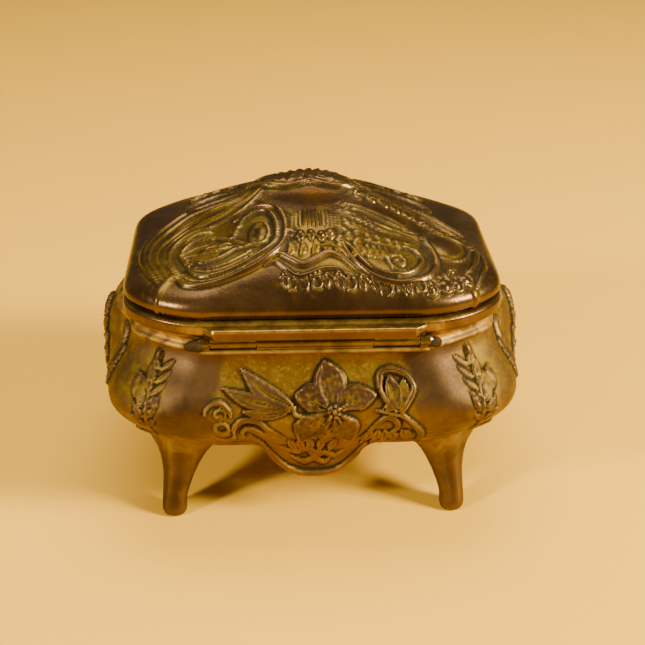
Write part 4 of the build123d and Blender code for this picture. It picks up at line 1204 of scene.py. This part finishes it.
# %% Stuffed pads
def stuffed(name, node, body, voxel, cap, shrink, frames=20):
    """Copy of a CAD solid, drawn in, voxel remeshed, swollen by cloth pressure, and capped."""
    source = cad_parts[node]
    piece = bpy.data.objects.new(name, source.data.copy())
    bpy.context.scene.collection.objects.link(piece)
    bpy.context.view_layer.objects.active = piece
    count = len(piece.data.vertices)
    co = np.empty(count * 3, np.float32)
    piece.data.vertices.foreach_get("co", co)
    co = co.reshape(-1, 3)
    middle = (co.max(0) + co.min(0)) / 2
    half = (co.max(0) - co.min(0)) / 2
    co = middle + (co - middle) * (1 - np.array(shrink) * MM / half)
    piece.data.vertices.foreach_set("co", co.astype(np.float32).ravel())
    weld = piece.modifiers.new("weld", "WELD")
    weld.merge_threshold = 0.00002
    remesh = piece.modifiers.new("even", "REMESH")
    remesh.mode = "VOXEL"
    remesh.voxel_size = voxel * MM
    remesh.use_smooth_shade = True

    def settle():
        graph = bpy.context.evaluated_depsgraph_get()
        mesh = bpy.data.meshes.new_from_object(piece.evaluated_get(graph))
        piece.modifiers.clear()
        old = piece.data
        piece.data = mesh
        bpy.data.meshes.remove(old)
    settle()
    count = len(piece.data.vertices)
    rest = np.empty(count * 3, np.float32)
    piece.data.vertices.foreach_get("co", rest)
    rest = rest.reshape(-1, 3)
    cloth = piece.modifiers.new("stuffing", "CLOTH")
    cloth.settings.quality = 5
    cloth.settings.mass = 0.1
    cloth.settings.use_pressure = True
    cloth.settings.uniform_pressure_force = 4.0
    cloth.settings.tension_stiffness = 8
    cloth.settings.bending_stiffness = 0.3
    cloth.settings.effector_weights.gravity = 0.0
    cloth.collision_settings.use_collision = False
    cloth.collision_settings.use_self_collision = False
    for step_frame in range(1, frames + 1):
        bpy.context.scene.frame_set(step_frame)
    settle()
    bpy.context.scene.frame_set(1)
    moved = np.empty(count * 3, np.float32)
    piece.data.vertices.foreach_get("co", moved)
    moved = moved.reshape(-1, 3) - rest
    length = np.linalg.norm(moved, axis=1, keepdims=True)
    moved = moved * np.minimum(1, cap * MM / np.maximum(length, 1e-9))
    # a soft crown, lowest at the sewn edge, by which the fabric paints shade towards the edge
    where = (rest - middle) / half
    crown = np.clip(1 - np.maximum(np.abs(where[:, 0]) ** 4, np.abs(where[:, 1]) ** 4), 0, 1)
    placed = rest + moved
    placed = np.nan_to_num(placed, nan=0.0)
    low_z, high_z = middle[2] - half[2], middle[2] + half[2]
    placed[:, 2] = np.clip(placed[:, 2], low_z, high_z)
    piece.data.vertices.foreach_set("co", placed.astype(np.float32).ravel())
    fold = piece.data.attributes.new("fold", "FLOAT", "POINT")
    fold.data.foreach_set("value", crown.astype(np.float32))
    smooth = piece.modifiers.new("soft", "SMOOTH")
    smooth.factor = 0.5
    smooth.iterations = 3
    subdivide = piece.modifiers.new("finish", "SUBSURF")
    subdivide.levels = 1
    subdivide.render_levels = 1
    piece.data.polygons.foreach_set("use_smooth", np.ones(len(piece.data.polygons), bool))
    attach(piece, body)
    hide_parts(node)
    print(name, count, "points, moved at most", round(float(length.max()) / MM, 2), "mm")
    return piece


floor_pad = stuffed("floor_pad_stuffed", "floor_pad", "case", 1.7, 1.0, (0.8, 0.8, 0.7))
lid_pad = stuffed("lid_pad_stuffed", "lid_pad", "lid", 1.7, 0.8, (0.7, 0.7, 0.6))
print("shapes done after", round(time.time() - started, 1), "s")

# %% [markdown]
# ## Node helpers
# A material is easier to read as a short list of nodes and links. These helpers only save typing:
# one adds a node and sets its inputs, one joins two sockets, and one mixes two colours by a mask.


# %% Node helpers
def add(tree, kind, **settings):
    """A node of that kind; settings whose name is an input's set the input, others the node."""
    node = tree.nodes.new(kind)
    for key, value in settings.items():
        plain = key.replace("_", " ")
        match = [s for s in node.inputs if s.name.lower() == plain.lower()]
        if match and not hasattr(node, key):
            match[0].default_value = value
        else:
            setattr(node, key, value)
    return node


def join(tree, source, target):
    """Links an output socket to an input socket."""
    tree.links.new(source, target)


def math_node(tree, operation, first, second=None, clamp=False):
    """Output of a Math node; each operand is a number or a socket."""
    node = tree.nodes.new("ShaderNodeMath")
    node.operation = operation
    node.use_clamp = clamp
    for socket, value in zip(node.inputs, (first, second)):
        if value is None:
            continue
        if isinstance(value, (int, float)):
            socket.default_value = value
        else:
            tree.links.new(value, socket)
    return node.outputs[0]


def blend_colour(tree, mask, first, second):
    """Colour that goes from the first to the second as the mask goes from 0 to 1."""
    node = tree.nodes.new("ShaderNodeMix")
    node.data_type = "RGBA"
    node.clamp_factor = True
    for socket, value in ((node.inputs[0], mask), (node.inputs[6], first), (node.inputs[7], second)):
        if isinstance(value, (int, float)):
            socket.default_value = value
        elif isinstance(value, tuple):
            socket.default_value = (*value, 1.0)
        else:
            tree.links.new(value, socket)
    return node.outputs[2]


def steps(tree, value, low, high):
    """0 below low, 1 above high, with an S-shaped change."""
    node = tree.nodes.new("ShaderNodeMapRange")
    node.interpolation_type = "SMOOTHSTEP"
    node.inputs[1].default_value = low
    node.inputs[2].default_value = high
    tree.links.new(value, node.inputs[0])
    return node.outputs[0]


def noise(tree, vector, scale, detail=3.0, roughness=0.55, distortion=0.0):
    """Value of a Noise Texture at a place."""
    node = add(tree, "ShaderNodeTexNoise")
    node.inputs["Scale"].default_value = scale
    node.inputs["Detail"].default_value = detail
    node.inputs["Roughness"].default_value = roughness
    node.inputs["Distortion"].default_value = distortion
    tree.links.new(vector, node.inputs["Vector"])
    return node.outputs[0]


def new_group(name, inputs, outputs):
    """Empty node group with named float inputs (name, default) and outputs (name, kind)."""
    tree = bpy.data.node_groups.new(name, "ShaderNodeTree")
    for label, default in inputs:
        socket = tree.interface.new_socket(name=label, in_out="INPUT", socket_type="NodeSocketFloat")
        socket.default_value = default
    for label, kind in outputs:
        tree.interface.new_socket(name=label, in_out="OUTPUT", socket_type=kind)
    return tree, tree.nodes.new("NodeGroupInput"), tree.nodes.new("NodeGroupOutput")


def use_group(tree, group, **values):
    """Places a group in a tree and sets or links its inputs by name."""
    node = tree.nodes.new("ShaderNodeGroup")
    node.node_tree = group
    for key, value in values.items():
        if isinstance(value, (int, float)):
            node.inputs[key].default_value = value
        else:
            tree.links.new(value, node.inputs[key])
    return node


def new_material(name, metallic, roughness=0.5, **constant):
    """Material with one Principled BSDF; numbers that don't change over the surface are set here."""
    material = bpy.data.materials.new(name)
    material.use_nodes = True
    tree = material.node_tree
    shader = next(n for n in tree.nodes if n.type == "BSDF_PRINCIPLED")
    shader.inputs["Metallic"].default_value = metallic
    shader.inputs["Roughness"].default_value = roughness
    for key, value in constant.items():
        shader.inputs[key.replace("_", " ")].default_value = value
    return material, tree, shader


# %% [markdown]
# ## Patina
# The finish is a thin gilding over browned metal. Four things show on it: smooth swellings have
# browned to a warm purple-brown, ochre gilding is left near the ornament and in sheltered places,
# ridges are lightened to pale gold, which is rubbed gilding and a painted highlight together, and
# hollows are darkened to greenish-black, which is dirt in the crevices and painted shade where a piece
# lies under or between others. One node group mixes the four by the measured attributes, and breaks
# every border with noise, because wear is never even.

# %% Patina group
patina, g_in, g_out = new_group(
    "browned gilding",
    [("Hollow", 0.0), ("Edge", 0.0), ("Gilding", 0.5), ("Collar", 0.0), ("Warm", 0.0), ("Dull", 0.0)],
    [("Color", "NodeSocketColor"), ("Roughness", "NodeSocketFloat"), ("Height", "NodeSocketFloat")])
where = add(patina, "ShaderNodeTexCoord").outputs["Object"]
cloud = noise(patina, where, 55.0, 4.0, 0.6, 0.4)
patch = noise(patina, where, 190.0, 4.0, 0.6, 0.6)
grain = noise(patina, where, 900.0, 3.0, 0.6)
speck = noise(patina, where, 3200.0, 2.0, 0.5)
brown = blend_colour(patina, steps(patina, cloud, 0.35, 0.7), (0.056, 0.028, 0.010), (0.112, 0.062, 0.024))
brown = blend_colour(patina, steps(patina, patch, 0.55, 0.75), brown, (0.095, 0.040, 0.006))
gold = blend_colour(patina, steps(patina, patch, 0.35, 0.68), (0.130, 0.068, 0.004), (0.165, 0.110, 0.005))
gold = blend_colour(patina, steps(patina, grain, 0.5, 0.75), gold, (0.26, 0.155, 0.016))
spread = math_node(patina, "MULTIPLY", math_node(patina, "SUBTRACT", patch, 0.5), 0.9)
gilt = math_node(patina, "ADD", g_in.outputs["Gilding"], spread)
colour = blend_colour(patina, steps(patina, gilt, 0.10, 0.60), brown, gold)
# Rim and collar: brown broken by bright gold patches, which is polished gilding with painted glints.
colour = blend_colour(patina, steps(patina, g_in.outputs["Collar"], 0.1, 0.9), colour,
                      blend_colour(patina, steps(patina, patch, 0.4, 0.62), (0.13, 0.075, 0.024),
                                   (0.40, 0.235, 0.045)))
colour = blend_colour(patina, math_node(patina, "MULTIPLY", g_in.outputs["Warm"], 0.85), colour,
                      (0.15, 0.058, 0.005))
# Pale gold on ridges and edges: rubbed gilding, and a painted highlight along them as well.
rub_and_highlight_amount = math_node(patina, "MULTIPLY", g_in.outputs["Edge"], steps(patina, patch, 0.25, 0.65))
rub_and_highlight_amount = math_node(patina, "ADD", rub_and_highlight_amount, math_node(patina, "MULTIPLY", g_in.outputs["Edge"], 0.25))
colour = blend_colour(patina, math_node(patina, "MULTIPLY", rub_and_highlight_amount, 0.50, True), colour, (0.48, 0.31, 0.09))
# Greenish-black darkening: dirt in the crevices, and painted shade where a piece lies under or between
# others.
dirt_and_shade_noise = math_node(patina, "MULTIPLY", math_node(patina, "SUBTRACT", grain, 0.5), 0.7)
dirt_and_shade_amount = steps(patina, math_node(patina, "ADD", g_in.outputs["Hollow"], dirt_and_shade_noise), 0.12, 1.05)
colour = blend_colour(patina, math_node(patina, "MULTIPLY", dirt_and_shade_amount, 0.90), colour, (0.020, 0.017, 0.007))
fleck = steps(patina, speck, 0.66, 0.74)
colour = blend_colour(patina, math_node(patina, "MULTIPLY", fleck, 0.35), colour, (0.05, 0.035, 0.015))
join(patina, colour, g_out.inputs["Color"])
rough = math_node(patina, "ADD", math_node(patina, "MULTIPLY", grain, 0.16),
                  math_node(patina, "MULTIPLY", dirt_and_shade_amount, 0.28))
rough = math_node(patina, "ADD", rough, math_node(patina, "MULTIPLY", gilt, 0.10))
rough = math_node(patina, "ADD", rough, g_in.outputs["Dull"])
rough = math_node(patina, "ADD", rough, 0.18, True)
join(patina, rough, g_out.inputs["Roughness"])
bumps = math_node(patina, "ADD", math_node(patina, "MULTIPLY", grain, 0.6),
                  math_node(patina, "MULTIPLY", speck, 0.25))
bumps = math_node(patina, "ADD", bumps, math_node(patina, "MULTIPLY", patch, 0.8))
join(patina, bumps, g_out.inputs["Height"])
print("patina group has", len(patina.nodes), "nodes")


def metal_material(name, bump=0.00022, strength=0.35, metallic=0.72, dull=0.0, **fixed):
    """The patina on a piece: its masks come from the piece's attributes unless a value is given."""
    material, tree, shader = new_material(name, metallic)
    masks = {"Dull": dull}
    for label in ("Hollow", "Edge", "Gilding", "Collar", "Warm"):
        if label in fixed:
            masks[label] = fixed[label]
        else:
            read = add(tree, "ShaderNodeAttribute", attribute_name=label.lower())
            masks[label] = read.outputs["Fac"]
    finish = use_group(tree, patina, **masks)
    join(tree, finish.outputs["Color"], shader.inputs["Base Color"])
    join(tree, finish.outputs["Roughness"], shader.inputs["Roughness"])
    raised = add(tree, "ShaderNodeBump")
    raised.inputs["Strength"].default_value = strength
    raised.inputs["Distance"].default_value = bump
    join(tree, finish.outputs["Height"], raised.inputs["Height"])
    join(tree, raised.outputs[0], shader.inputs["Normal"])
    return material


def dress(piece, material):
    """Puts one material in every slot of a piece."""
    piece.data.materials.clear()
    piece.data.materials.append(material)


dulled_metal = metal_material("case_metal", dull=0.24)
for piece in (case_skin, bed, *solder, *legs):
    dress(piece, dulled_metal)
polished_metal = metal_material("lid_metal")
for piece in (dome_skin, band, hinge_leaf):
    dress(piece, polished_metal)
plain_metal = metal_material("cast_metal_underside", Hollow=0.35, Edge=0.0, Gilding=0.25, Collar=0.0,
                             Warm=0.0)
dress(underside, plain_metal)
tube_metal = metal_material("hinge_tube_metal", Hollow=0.42, Edge=0.1, Gilding=0.45, Collar=0.1, Warm=0.0)
for name in ("case_knuckle", "hinge_end_lug_left", "hinge_end_lug_right", "lid_knuckle_left",
             "lid_knuckle_right"):
    dress(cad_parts[name], tube_metal)

# %% [markdown]
# ## Pin, plate and card
# The pin is drawn steel wire with fine scratches round it. The bottom plate is tinned sheet that has
# dulled in blotches. The cards behind the silk are grey pasteboard with short fibres.

# %% Small materials
steel, tree, shader = new_material("drawn_steel", 1.0)
where = add(tree, "ShaderNodeTexCoord").outputs["Object"]
stretch = add(tree, "ShaderNodeMapping")
stretch.inputs["Scale"].default_value = (9000, 300, 300)
join(tree, where, stretch.inputs["Vector"])
scratch = noise(tree, stretch.outputs[0], 1.0, 2.0)
join(tree, blend_colour(tree, scratch, (0.22, 0.20, 0.18), (0.45, 0.43, 0.40)), shader.inputs["Base Color"])
join(tree, math_node(tree, "ADD", math_node(tree, "MULTIPLY", scratch, 0.25), 0.25),
     shader.inputs["Roughness"])
dress(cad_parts["hinge_pin"], steel)

tin, tree, shader = new_material("dull_tin_plate", 0.85)
where = add(tree, "ShaderNodeTexCoord").outputs["Object"]
blotch = noise(tree, where, 90.0, 5.0, 0.65, 0.8)
fine = noise(tree, where, 1400.0, 2.0)
join(tree, blend_colour(tree, steps(tree, blotch, 0.35, 0.65), (0.13, 0.10, 0.065), (0.28, 0.24, 0.17)),
     shader.inputs["Base Color"])
join(tree, math_node(tree, "ADD", math_node(tree, "MULTIPLY", blotch, 0.4), 0.28), shader.inputs["Roughness"])
raised = add(tree, "ShaderNodeBump")
raised.inputs["Distance"].default_value = 0.0001
raised.inputs["Strength"].default_value = 0.4
join(tree, fine, raised.inputs["Height"])
join(tree, raised.outputs[0], shader.inputs["Normal"])
dress(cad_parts["bottom_plate"], tin)

card, tree, shader = new_material("grey_pasteboard", 0.0, 0.9)
where = add(tree, "ShaderNodeTexCoord").outputs["Object"]
fibre_map = add(tree, "ShaderNodeMapping")
fibre_map.inputs["Scale"].default_value = (1500, 400, 900)
join(tree, where, fibre_map.inputs["Vector"])
fibre = noise(tree, fibre_map.outputs[0], 1.0, 3.0)
join(tree, blend_colour(tree, fibre, (0.24, 0.20, 0.15), (0.42, 0.36, 0.28)), shader.inputs["Base Color"])
join(tree, math_node(tree, "ADD", math_node(tree, "MULTIPLY", fibre, 0.2), 0.75), shader.inputs["Roughness"])
raised = add(tree, "ShaderNodeBump")
raised.inputs["Distance"].default_value = 0.0001
raised.inputs["Strength"].default_value = 0.5
join(tree, fibre, raised.inputs["Height"])
join(tree, raised.outputs[0], shader.inputs["Normal"])
for name in ("wall_card", "floor_card", "lid_card"):
    dress(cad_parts[name], card)

# %% [markdown]
# ## Silk and cord
# The silk is a faded rose, woven so finely that only a faint crossing of threads shows. Its sheen
# follows the folds, and age has yellowed it in patches. The weave is one group, used by the silk
# and by the cord with their own scale.

# %% Weave group and fabrics
weave, g_in, g_out = new_group("fine weave", [("Scale", 4200.0), ("Depth", 1.0)],
                               [("Height", "NodeSocketFloat"), ("Shade", "NodeSocketFloat")])
where = add(weave, "ShaderNodeTexCoord").outputs["Object"]
split = add(weave, "ShaderNodeSeparateXYZ")
join(weave, where, split.inputs[0])
warp_way = math_node(weave, "ADD", split.outputs["X"], math_node(weave, "MULTIPLY", split.outputs["Y"], 0.62))
weft_way = math_node(weave, "ADD", split.outputs["Z"], math_node(weave, "MULTIPLY", split.outputs["Y"], 0.55))
warp_wave = math_node(weave, "SINE", math_node(weave, "MULTIPLY", warp_way, g_in.outputs["Scale"]))
weft_wave = math_node(weave, "SINE", math_node(weave, "MULTIPLY", weft_way, g_in.outputs["Scale"]))
cross = math_node(weave, "MULTIPLY", warp_wave, weft_wave)
cross = math_node(weave, "MULTIPLY", cross, g_in.outputs["Depth"])
slub = noise(weave, where, 650.0, 3.0)
join(weave, math_node(weave, "ADD", cross, slub), g_out.inputs["Height"])
join(weave, math_node(weave, "ADD", math_node(weave, "MULTIPLY", cross, 0.12), slub), g_out.inputs["Shade"])


def fabric(name, deep, light, aged, scale, sheen, mask):
    """Cloth: colour from deep to light by the weave, aged in patches, and darker by the fold mask as painted
    shade.
    """
    material, tree, shader = new_material(name, 0.0, 0.55, Sheen_Weight=sheen, Sheen_Roughness=0.35)
    woven = use_group(tree, weave, Scale=scale)
    where = add(tree, "ShaderNodeTexCoord").outputs["Object"]
    age = noise(tree, where, 60.0, 4.0, 0.6)
    fold = add(tree, "ShaderNodeAttribute", attribute_name=mask).outputs["Fac"]
    colour = blend_colour(tree, steps(tree, woven.outputs["Shade"], 0.3, 0.75), deep, light)
    colour = blend_colour(tree, steps(tree, age, 0.5, 0.72), colour, aged)
    # Painted shade by the mask: it follows the silk's pleat wave, falls towards a pad's sewn edge and lies
    # between a cord's strands.
    shade = steps(tree, fold, -1.0, 0.6)
    colour = blend_colour(tree, math_node(tree, "SUBTRACT", 0.35, math_node(tree, "MULTIPLY", shade, 0.35)),
                          colour, tuple(0.4 * c for c in deep))
    join(tree, colour, shader.inputs["Base Color"])
    join(tree, math_node(tree, "ADD", math_node(tree, "MULTIPLY", age, 0.2), 0.40),
         shader.inputs["Roughness"])
    raised = add(tree, "ShaderNodeBump")
    raised.inputs["Distance"].default_value = 0.00008
    raised.inputs["Strength"].default_value = 0.5
    join(tree, woven.outputs["Height"], raised.inputs["Height"])
    join(tree, raised.outputs[0], shader.inputs["Normal"])
    return material


rose_silk = fabric("faded_rose_silk", (0.36, 0.13, 0.12), (0.62, 0.30, 0.26), (0.55, 0.34, 0.22), 4200.0, 0.4,
                   "fold")
gold_cord = fabric("old_gold_cord", (0.30, 0.17, 0.05), (0.66, 0.45, 0.17), (0.42, 0.27, 0.10), 6500.0, 0.25,
                   "strand")
for piece in (silk, floor_pad, lid_pad):
    dress(piece, rose_silk)
for piece in (wall_cord, lid_cord):
    dress(piece, gold_cord)

# %% [markdown]
# ## Table and light
# A pale sand-coloured table, which isn't part of the object, a small soft light on each side towards
# the viewer, and a broad weaker one from above. The light on the right is the stronger, so the
# shadow lies to the left.

# %% Table
table_mesh = bpy.data.meshes.new("table")
TABLE_HALF = 8.0
table_mesh.from_pydata([(x * TABLE_HALF, y * TABLE_HALF, 0) for x, y in ((-1, -1), (1, -1), (1, 1), (-1, 1))],
                       [], [(0, 1, 2, 3)])
table = bpy.data.objects.new("table", table_mesh)
bpy.context.scene.collection.objects.link(table)
sand, tree, shader = new_material("pale_sand_table", 0.0, 0.6)
where = add(tree, "ShaderNodeTexCoord").outputs["Object"]
mottle = noise(tree, where, 14.0, 3.0)
join(tree, blend_colour(tree, mottle, (0.99, 0.55, 0.035), (1.0, 0.59, 0.05)), shader.inputs["Base Color"])
dress(table, sand)


# %% Lights
def soft_light(name, place, target, size_x, size_y, power, colour):
    """Rectangular area light at a place, turned towards a target."""
    data = bpy.data.lights.new(name, "AREA")
    data.shape = "RECTANGLE"
    data.size, data.size_y = size_x, size_y
    data.energy = power
    data.color = colour
    light = bpy.data.objects.new(name, data)
    bpy.context.scene.collection.objects.link(light)
    light.location = place
    light.rotation_mode = "QUATERNION"
    light.rotation_quaternion = (Vector(target) - Vector(place)).to_track_quat("-Z", "Y")
    return light


soft_light("right_softbox", (-0.80, 0.36, 0.58), (0, 0, 0.05), 0.24, 0.24, 26.0, (1.0, 0.84, 0.50))
soft_light("left_softbox", (0.68, 0.50, 0.50), (0, 0, 0.05), 0.12, 0.12, 9.0, (1.0, 0.85, 0.56))
soft_light("top_softbox", (0.0, -0.25, 0.95), (0, 0, 0.05), 0.7, 0.5, 8.0, (1.0, 0.85, 0.55))
world = bpy.data.worlds.new("studio")
bpy.context.scene.world = world
world.use_nodes = True
backdrop = next(n for n in world.node_tree.nodes if n.type == "BACKGROUND")
backdrop.inputs["Color"].default_value = (0.56, 0.46, 0.31, 1.0)
backdrop.inputs["Strength"].default_value = 0.22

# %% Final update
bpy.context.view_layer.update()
print("made in", round(time.time() - started, 1), "s")
